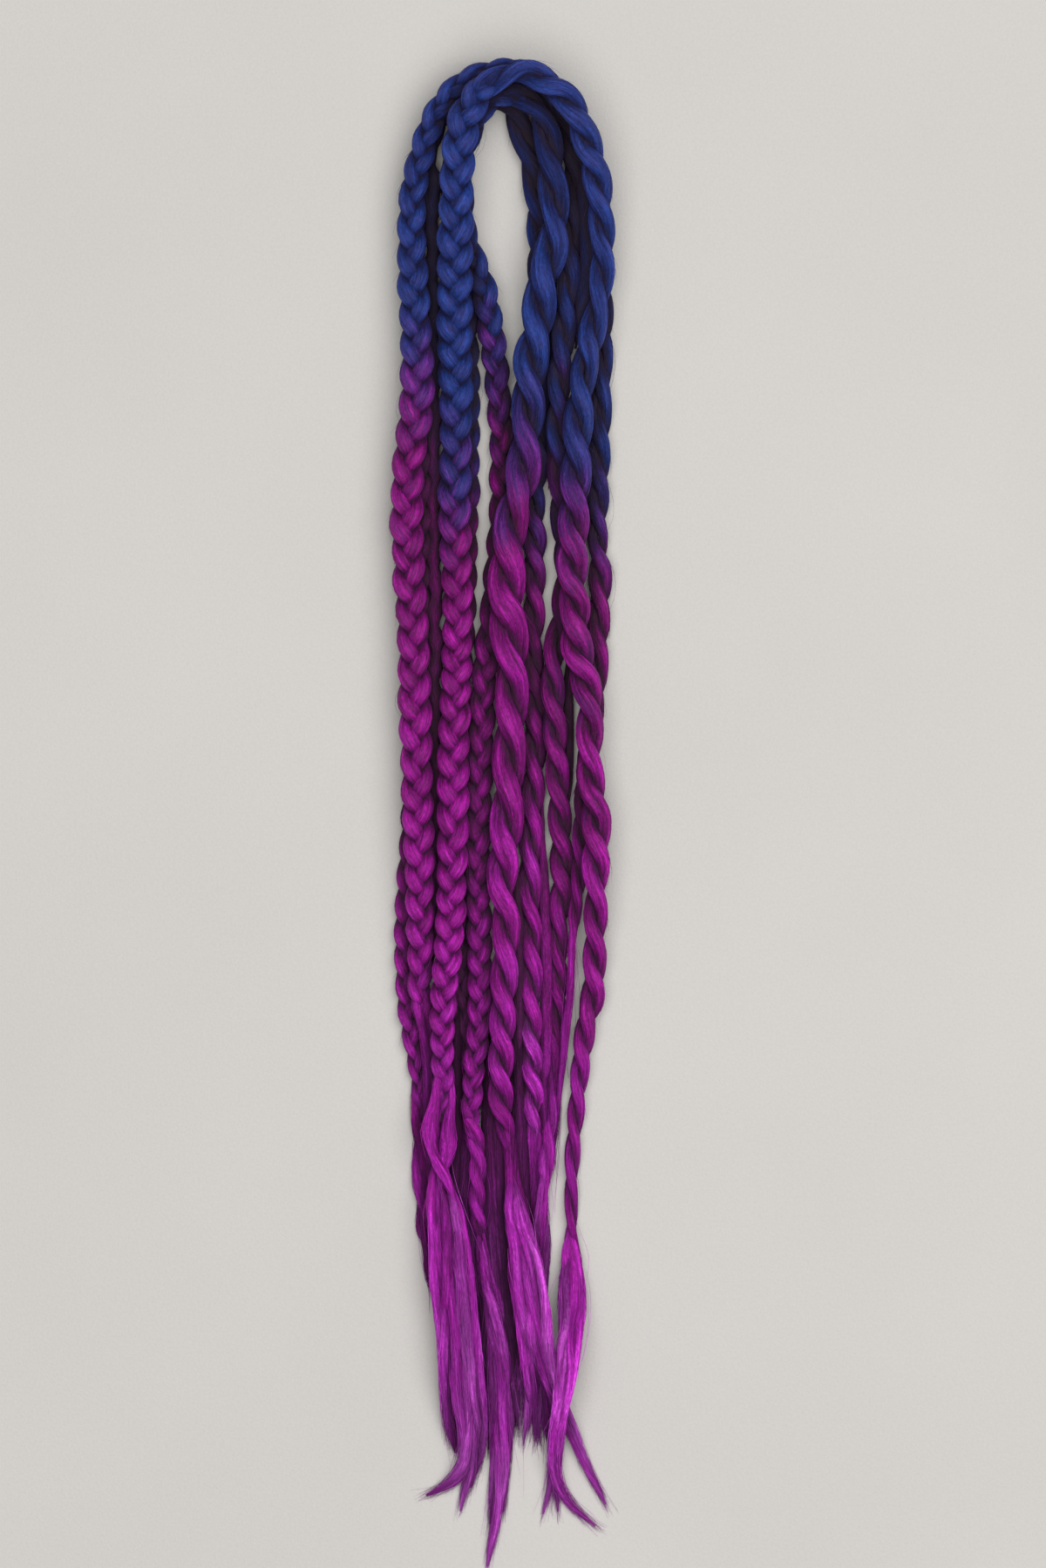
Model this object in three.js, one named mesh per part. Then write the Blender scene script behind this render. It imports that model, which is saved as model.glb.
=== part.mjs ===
// A hank of five double-ended hair extensions, folded together over their middles and laid flat.
// From the fold every extension runs down once as a three-strand plait and once as a two-strand rope twist,
// and both legs end in a loose tail of unplaited hair.
//
// Millimetres. X runs across the hank, Y from the loose tips (-Y) up to the fold (+Y), Z up from the surface
// that the hank lies on. The origin is the middle of the underside.

import * as THREE from 'three';

// ---- driving sizes -------------------------------------------------------------------------------------------
const LOCK_GAP = 0.8;          // air left between one lock and the one that it lies on
const END_GAP = 0.4;           // between a leg and its tail, and between the two legs at the fold
const BRAID_FLATNESS = 0.64;   // thickness over width of a plait
const TWIST_FLATNESS = 0.80;   // thickness over width of a rope twist
const TAIL_FLATNESS = 0.52;    // thickness over width of a loose tail
const FOLD_FLATNESS = 0.64;    // thickness over width where a lock turns over at the fold
const BRAID_PITCH = 12.6;      // one V of the plait, along its length
const BRAID_WAIST = 0.80;      // half width between two bulges of a plait, over the half width at a bulge
const TWIST_PITCH = 39;        // one full turn of a rope twist
const TWIST_WAIST = 0.66;      // pinch between the two strands of a twist, over their outer reach
const TWIST_STEPS = 6;         // sections in one full turn of a twist
const TAIL_STEP = 13;          // distance between two sections of a tail
const FINE_STEP = 2.5;         // distance between the stations on which the locks settle on one another
const BRIDGE_PASSES = 60;      // how far a lifted lock spans before it comes down again
const LIFT_REACH = 2;          // stations over which a lifted lock keeps its height
const OWN_REACH = 50;          // two parts of one lock nearer than this along it don't rest on each other
const FLAT_BOTTOM = 0.93;      // depth of the flat underside of plaits and tails, over the half thickness

// Locks from the lowest to the one on top.
const LAYERS = [4, 5, 3, 2, 1];

// Route of every lock seen from above: columns x, y and width, one row a section, from the fold outwards.
// The first row of the plait and of the twist of a lock is the same point, the top of its fold.
const ROUTES = {
  // front lock: second plait from the left, rides over the fold, outer rope twist
  1: {
    braid: [
      [4.7, 306.6, 10.8], [-4, 303.3, 11.5], [-10.4, 297.6, 13], [-17.6, 278.1, 14.4], [-19.8, 224.9, 15.1],
      [-19.4, 152.9, 13.7], [-20.2, 127.7, 14.4], [-18.7, 80.9, 12.6], [-20.2, 30.5, 13.7], [-21.6, -41.5, 13],
      [-24.8, -81.1, 11.5], [-24.8, -111, 9.4],
    ],
    braid_tail: [
      [-25.6, -122.5, 10.8], [-26.6, -133.3, 10.8], [-25.2, -149.5, 8.6], [-19.8, -189.1, 10.8], [-13.3, -255.7, 7.2],
      [-14.8, -269.1, 4.3], [-19.1, -276.3, 2.5], [-29.5, -280.9, 1.1],
    ],
    twist: [
      [4.7, 306.6, 10.8], [12.2, 306.6, 11.2], [20.2, 301.9, 11.9], [27, 294, 11.9], [31.7, 283.2, 12.2],
      [39.2, 255.1, 11.5], [41, 223.1, 10.8], [32.8, 178.1, 12.2], [30.2, 140.3, 13], [28.4, 100.7, 13.7],
      [29.9, 84.5, 13], [29.9, 70.1, 13.7], [36, 46.7, 12.2], [35.6, 23.3, 11.9], [38.5, -5.5, 13],
      [38.2, -41.5, 10.8], [37.1, -75.7, 9.7], [33.8, -88.3, 8.6], [28.8, -140.5, 6.5], [28.4, -172.6, 5.4],
    ],
    twist_tail: [
      [28.8, -181.9, 9.4], [28.8, -198.1, 11.9], [26.6, -225.1, 7.9], [21.6, -253.9, 4.3], [22.7, -277.3, 2.5],
      [37.4, -292.5, 0.7],
    ],
  },
  // outermost plait on the left, outermost twist on the right
  2: {
    braid: [
      [4, 308.7, 9.4], [-14, 304.4, 10.8], [-26.3, 291.8, 10.8], [-33.8, 271.7, 11.2], [-37.8, 244.7, 11.9],
      [-35.3, 178.1, 14.4], [-39.2, 143.9, 13.7], [-39.6, 111.5, 13.7], [-37.4, 77.3, 13.7], [-36, 34.1, 13.7],
      [-33.8, -45.1, 12.2], [-34.2, -73.9, 9.4],
    ],
    braid_tail: [
      [-32, -88.3, 7.2], [-29.5, -106.3, 5.8], [-24.8, -174.7, 7.2], [-16.9, -246.7, 5.8], [-15.8, -261.1, 2.2],
    ],
    twist: [
      [4, 308.7, 9.4], [13.3, 305.5, 9.4], [27.4, 291.5, 9.4], [36.4, 268.1, 9.4], [41.4, 212.3, 8.6],
      [40, 156.5, 9.4], [39.2, 116.9, 9.4], [40, 95.3, 10.1], [37.4, 44.9, 9.4], [32.4, 1.7, 6.8],
      [31.3, -27.1, 6.5], [29.5, -43.3, 5],
    ],
    twist_tail: [
      [28.4, -57.7, 3.6], [27.7, -73.9, 3.6], [23.8, -131.5, 3.2], [18.4, -181.9, 1.4],
    ],
  },
  // inner plait, crossing under the inner front twist
  3: {
    braid: [
      [4, 298.3, 9.4], [-2.5, 296.9, 10.1], [-8.3, 291.8, 10.1], [-16.6, 271.7, 10.1], [-16.6, 246.5, 10.1],
      [-14, 233.9, 10.8], [-6.8, 212.3, 11.5], [-1.4, 167.3, 10.8], [0, 129.5, 11.5], [-3.6, 88.1, 11.5],
      [-7.9, 52.1, 11.5], [-10.4, -12.7, 11.5], [-9.4, -77.5, 10.8], [-12.6, -111.7, 9.4], [-13, -126.1, 7.9],
    ],
    braid_tail: [
      [-10.4, -140.5, 7.2], [-10.4, -165.7, 6.5], [-4, -198.1, 7.9], [-2.2, -217.9, 9.4], [-1.4, -277.3, 6.8],
      [-6.1, -313.3, 1.1],
    ],
    twist: [
      [4, 298.3, 9.4], [10.4, 295.4, 10.8], [15.5, 288.6, 11.5], [18.7, 277.1, 12.2], [21.2, 248.3, 13],
      [19.8, 232.1, 13.7], [15.8, 219.5, 14.4], [13.7, 197.9, 14.4], [11.5, 187.1, 15.1], [8.3, 139.2, 14.4],
      [4, 125.9, 14.4], [1.4, 91.7, 15.8], [3.6, 55.7, 15.1], [1.8, 1.7, 14.4], [-0.4, -30.7, 12.2],
      [1.1, -46.9, 11.5], [-1.1, -111.7, 10.8], [0.7, -127.9, 8.6],
    ],
    twist_tail: [
      [3.2, -140.5, 7.2], [4.3, -154.9, 9], [9.4, -185.5, 13.7], [14.4, -214.3, 11.2], [27.7, -253.2, 6.5],
      [41.8, -283.5, 1.1],
    ],
  },
  // lowest lock, hidden under the front plait and the inner twist
  4: {
    braid: [
      [-0.4, 296.5, 8.6], [-6.1, 295.8, 9.4], [-11.5, 291.1, 9.4], [-19.1, 273.5, 10.1], [-20.2, 246.5, 10.1],
      [-14.8, 194.3, 10.1], [-14.4, 149.3, 10.1], [-15.8, 82.7, 9.4], [-18, 39.5, 9.4], [-19.1, -7.3, 9.4],
      [-17.6, -52.3, 9.4], [-14.4, -102.7, 7.2],
    ],
    braid_tail: [
      [-14.8, -118.9, 5.8], [-15.8, -156.7, 5], [-12.6, -199.9, 6.5], [-8.6, -241.3, 5.8], [-7.6, -257.5, 1.8],
    ],
    twist: [
      [-0.4, 296.5, 8.6], [3.6, 293.3, 9.4], [6.8, 284.3, 9.4], [12.6, 264.5, 9.4], [15.5, 232.1, 10.1],
      [15.8, 192.5, 10.1], [13, 131.3, 9.4], [13, 84.5, 9], [11.9, 68.3, 8.6], [13.3, 34.1, 9.4],
      [11.2, -23.5, 9.7], [12.2, -63.1, 9], [11.5, -82.9, 8.6], [12.6, -115.3, 9], [12.2, -128.7, 6.5],
    ],
    twist_tail: [
      [13.3, -144.1, 6.1], [14.4, -178.3, 7.2], [9.4, -237.7, 10.8], [7.6, -253.9, 7.2],
    ],
  },
  // low lock beside the outermost plait, middle twist
  5: {
    braid: [
      [5.4, 302.6, 9], [-10.4, 301.2, 9.4], [-17.6, 297.6, 9.4], [-28.4, 283.2, 9.7], [-34.6, 259.1, 10.1],
      [-37.1, 224.9, 10.1], [-33.5, 138.5, 10.8], [-34.9, 73.7, 10.1], [-37.1, 1.7, 10.1], [-39.6, -36.1, 10.1],
      [-39.6, -73.9, 9.4], [-34.2, -116.4, 6.5],
    ],
    braid_tail: [
      [-34.2, -131.5, 6.1], [-31, -174.7, 7.2], [-20.5, -226.9, 7.2], [-19.8, -253.9, 4.7], [-20.9, -260.1, 1.8],
    ],
    twist: [
      [5.4, 302.6, 9], [19.4, 295.1, 9.4], [27.4, 276, 9.4], [28.8, 244.7, 9.4], [23, 172.7, 9.4],
      [23.8, 133.1, 9.4], [26.3, 97.1, 9.4], [21.6, 68.3, 9.4], [20.5, 53.9, 9.4], [23.4, 1.7, 9.4],
      [24.8, -30.7, 9.4], [23, -45.1, 7.2], [23, -77.5, 6.8], [22, -91.9, 5],
    ],
    twist_tail: [
      [20.5, -109.9, 4], [18, -144.1, 4.3], [15.8, -160.3, 4.7], [14.4, -199.9, 5.4], [15.8, -239.5, 6.5],
      [19.1, -264, 1.8],
    ],
  },
};
// Colours of the plaited or twisted length and of the loose ends.
const LEG_COLOUR = 0x6a2a86;
const TAIL_COLOUR = 0xa23aa8;
const HAIR_ROUGHNESS = 0.62;

// ---- centre lines --------------------------------------------------------------------------------------------

// Point of a uniform Catmull-Rom curve through the rows, u counted in rows. The ends are mirrored.
function curvePoint(rows, u) {
  const last = rows.length - 1;
  const i = Math.min(Math.floor(u), last - 1);
  const t = u - i;
  const row = (k) => {
    if (k < 0) return rows[0].map((v, c) => 2 * v - rows[1][c]);
    if (k > last) return rows[last].map((v, c) => 2 * v - rows[last - 1][c]);
    return rows[k];
  };
  const [p0, p1, p2, p3] = [row(i - 1), row(i), row(i + 1), row(i + 2)];
  return p1.map((v, c) => 0.5 * (2 * v + (p2[c] - p0[c]) * t
    + (2 * p0[c] - 5 * v + 4 * p2[c] - p3[c]) * t * t
    + (3 * v - p0[c] - 3 * p2[c] + p3[c]) * t * t * t));
}

// One lock as a single line from the tip of its plaited leg, over the fold, to the tip of its twisted leg:
// evenly spaced stations, and the distances along it at which its pieces begin and end.
function lockLine(route) {
  const rows = [];
  const marks = {};
  const add = (list, flatness) => list.forEach(([x, y, w]) => rows.push([x, y, w, flatness]));
  add([...route.braid_tail].reverse(), TAIL_FLATNESS);
  marks.braidEnd = rows.length;
  add([...route.braid].reverse(), BRAID_FLATNESS);
  marks.fold = rows.length - 1;
  rows[marks.fold][3] = FOLD_FLATNESS;
  add(route.twist.slice(1), TWIST_FLATNESS);
  marks.twistEnd = rows.length - 1;
  add(route.twist_tail, TAIL_FLATNESS);

  const SUB = 40;
  const dense = [];
  for (let n = 0; n <= (rows.length - 1) * SUB; n++) dense.push(curvePoint(rows, n / SUB));
  const along = [0];
  for (let n = 1; n < dense.length; n++) {
    along.push(along[n - 1] + Math.hypot(dense[n][0] - dense[n - 1][0], dense[n][1] - dense[n - 1][1]));
  }
  const total = along[along.length - 1];
  const at = {};
  for (const [name, n] of Object.entries(marks)) at[name] = along[n * SUB];

  const count = Math.round(total / FINE_STEP) + 1;
  const stations = [];
  let n = 0;
  for (let k = 0; k < count; k++) {
    const s = (total * k) / (count - 1);
    while (n < along.length - 2 && along[n + 1] < s) n++;
    const f = (s - along[n]) / (along[n + 1] - along[n]);
    const [x, y, w, flat] = dense[n].map((v, c) => v + f * (dense[n + 1][c] - v));
    const b = (w / 2) * flat;
    const foot = s > at.fold && s < at.twistEnd ? b : FLAT_BOTTOM * b;
    stations.push({ s, x, y, a: w / 2, b, foot, z: 0 });
  }
  return { stations, at, total, step: total / (count - 1) };
}

// ---- lying on one another --------------------------------------------------------------------------------------

// Height that station p needs to clear station q below it, both being flat ovals.
function clearHeight(p, q) {
  const reach = p.a + q.a + LOCK_GAP;
  const d = Math.hypot(p.x - q.x, p.y - q.y);
  if (d >= reach) return 0;
  return q.z + (p.b + q.b + LOCK_GAP) * Math.sqrt(1 - (d / reach) ** 2);
}

// A lifted lock keeps its height a little beyond what lifts it, then spans the dip on either side.
function bridge(stations, lift) {
  const need = lift.map((v, k) => Math.max(stations[k].foot, ...lift.slice(Math.max(0, k - LIFT_REACH), k + LIFT_REACH + 1)
    .map((w, j) => w - stations[Math.max(0, k - LIFT_REACH) + j].foot + stations[k].foot)));
  let z = need.slice();
  for (let pass = 0; pass < BRIDGE_PASSES; pass++) {
    z = z.map((v, k) => (k === 0 || k === z.length - 1 ? v : Math.max(need[k], (z[k - 1] + z[k + 1]) / 2)));
  }
  stations.forEach((p, k) => { p.z = z[k]; });
}

// Every lock in turn comes to rest on the surface, on the locks below it and on its own plaited leg.
function settle(lines) {
  const below = [];
  for (const number of LAYERS) {
    const { stations, at } = lines[number];
    const need = stations.map((p) => Math.max(p.foot, ...below.map((q) => clearHeight(p, q))));
    bridge(stations, need);
    const own = stations.filter((q) => q.s < at.fold);
    const crossed = stations.map((p, k) => (p.s < at.fold ? need[k] : Math.max(need[k],
      ...own.filter((q) => p.s - q.s > OWN_REACH).map((q) => clearHeight(p, q)))));
    bridge(stations, crossed);
    below.push(...stations);
  }
}

// Centre, sideways direction, half width and half thickness at distance s along a lock.
function frameAt(line, s) {
  const list = line.stations;
  const u = Math.min(Math.max(s / line.step, 0), list.length - 1);
  const i = Math.min(Math.floor(u), list.length - 2);
  const f = u - i;
  const mix = (key) => list[i][key] + f * (list[i + 1][key] - list[i][key]);
  const heading = (k) => {
    const [back, ahead] = [list[Math.max(k - 1, 0)], list[Math.min(k + 1, list.length - 1)]];
    return new THREE.Vector2(ahead.x - back.x, ahead.y - back.y).normalize();
  };
  const run = heading(i).lerp(heading(i + 1), f).normalize();
  return {
    centre: new THREE.Vector3(mix('x'), mix('y'), mix('z')),
    side: new THREE.Vector3(-run.y, run.x, 0),
    a: mix('a'),
    b: mix('b'),
  };
}

// ---- cross sections, in half widths and half thicknesses --------------------------------------------------------

// A plait bulges to one side and then to the other, half a pitch apart, and is flat underneath.
function braidSection(n) {
  const right = n % 2 ? 1 : BRAID_WAIST;
  const left = n % 2 ? BRAID_WAIST : 1;
  const crown = (bulge) => (bulge === 1 ? 0.80 : 0.66);
  return [
    [right, 0], [0.60 * right, crown(right)], [-0.60 * left, crown(left)], [-left, 0],
    [-0.78 * left, -0.60], [-0.36, -FLAT_BOTTOM], [0.36, -FLAT_BOTTOM], [0.78 * right, -0.60],
  ];
}

// Two round strands side by side, turned together about the middle of the twist.
function twistSection(angle) {
  const outline = [[0, 1], [38, 0.93], [90, TWIST_WAIST], [142, 0.93], [180, 1], [218, 0.93], [270, TWIST_WAIST], [322, 0.93]];
  return outline.map(([deg, reach]) => {
    const turn = THREE.MathUtils.degToRad(deg) + angle;
    return [reach * Math.cos(turn), reach * Math.sin(turn)];
  });
}

// A loose tail is a soft oval, flat underneath.
function tailSection() {
  return [[1, 0], [0.66, 0.72], [0, 0.97], [-0.66, 0.72], [-1, 0], [-0.74, -0.62], [-0.36, -FLAT_BOTTOM], [0.36, -FLAT_BOTTOM], [0.74, -0.62]];
}

// ---- solids ------------------------------------------------------------------------------------------------------

// Closed solid through rings of equal point count, capped with a fan at both ends.
function loft(rings) {
  const sides = rings[0].length;
  const points = [];
  rings.forEach((ring) => ring.forEach((p) => points.push(p)));
  const index = [];
  for (let r = 0; r + 1 < rings.length; r++) {
    for (let k = 0; k < sides; k++) {
      const a = r * sides + k;
      const b = r * sides + ((k + 1) % sides);
      index.push(a, b, b + sides, a, b + sides, a + sides);
    }
  }
  const cap = (start, flip) => {
    const middle = new THREE.Vector3();
    for (let k = 0; k < sides; k++) middle.addScaledVector(points[start + k], 1 / sides);
    const m = points.push(middle) - 1;
    for (let k = 0; k < sides; k++) {
      const a = start + k;
      const b = start + ((k + 1) % sides);
      if (flip) index.push(m, b, a);
      else index.push(m, a, b);
    }
  };
  cap(0, true);
  cap((rings.length - 1) * sides, false);
  const geometry = new THREE.BufferGeometry();
  geometry.setAttribute('position', new THREE.Float32BufferAttribute(points.flatMap((p) => p.toArray()), 3));
  geometry.setIndex(index);
  return geometry;
}

// Solid of a lock between two distances along it, with about `step` between sections.
function lockSolid(line, from, to, step, section) {
  const count = Math.max(2, Math.round(Math.abs(to - from) / step));
  const rings = [];
  for (let n = 0; n <= count; n++) {
    const s = from + ((to - from) * n) / count;
    const { centre, side, a, b } = frameAt(line, s);
    const outline = section(n, s);
    rings.push(outline.map(([u, v]) => new THREE.Vector3(
      centre.x + side.x * a * u, centre.y + side.y * a * u, centre.z + b * v)));
  }
  return loft(rings);
}

// Faces look outwards.
function outward(geometry) {
  const p = geometry.getAttribute('position');
  const i = geometry.getIndex();
  const [a, b, c] = [new THREE.Vector3(), new THREE.Vector3(), new THREE.Vector3()];
  let volume = 0;
  for (let k = 0; k < i.count; k += 3) {
    a.fromBufferAttribute(p, i.getX(k));
    b.fromBufferAttribute(p, i.getX(k + 1));
    c.fromBufferAttribute(p, i.getX(k + 2));
    volume += a.dot(b.cross(c));
  }
  if (volume < 0) {
    const list = Array.from(i.array);
    for (let k = 0; k < list.length; k += 3) [list[k], list[k + 1]] = [list[k + 1], list[k]];
    geometry.setIndex(list);
  }
  geometry.computeVertexNormals();
  return geometry;
}

function hairMesh(name, geometry, colour) {
  const material = new THREE.MeshStandardMaterial({ color: colour, roughness: HAIR_ROUGHNESS, metalness: 0, flatShading: true });
  const mesh = new THREE.Mesh(outward(geometry), material);
  mesh.name = name;
  return mesh;
}

// ---- the hank ------------------------------------------------------------------------------------------------------

const lines = {};
for (const number of LAYERS) lines[number] = lockLine(ROUTES[number]);
settle(lines);

const hank = new THREE.Group();
hank.name = 'folded_hair_extensions';
for (const number of [...LAYERS].sort()) {
  const line = lines[number];
  const { braidEnd, fold, twistEnd } = line.at;
  const half = END_GAP / 2;
  const turn = (n, s) => (-2 * Math.PI * (s - fold)) / TWIST_PITCH;
  hank.add(
    hairMesh(`braid_${number}`,
      lockSolid(line, fold - half, braidEnd + half, BRAID_PITCH / 2, braidSection), LEG_COLOUR),
    hairMesh(`twist_${number}`,
      lockSolid(line, fold + half, twistEnd - half, TWIST_PITCH / TWIST_STEPS, (n, s) => twistSection(turn(n, s))), LEG_COLOUR),
    hairMesh(`braid_tail_${number}`,
      lockSolid(line, braidEnd - half, 0, TAIL_STEP, tailSection), TAIL_COLOUR),
    hairMesh(`twist_tail_${number}`,
      lockSolid(line, twistEnd + half, line.total, TAIL_STEP, tailSection), TAIL_COLOUR),
  );
}

export default hank;
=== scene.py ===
import math

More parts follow.
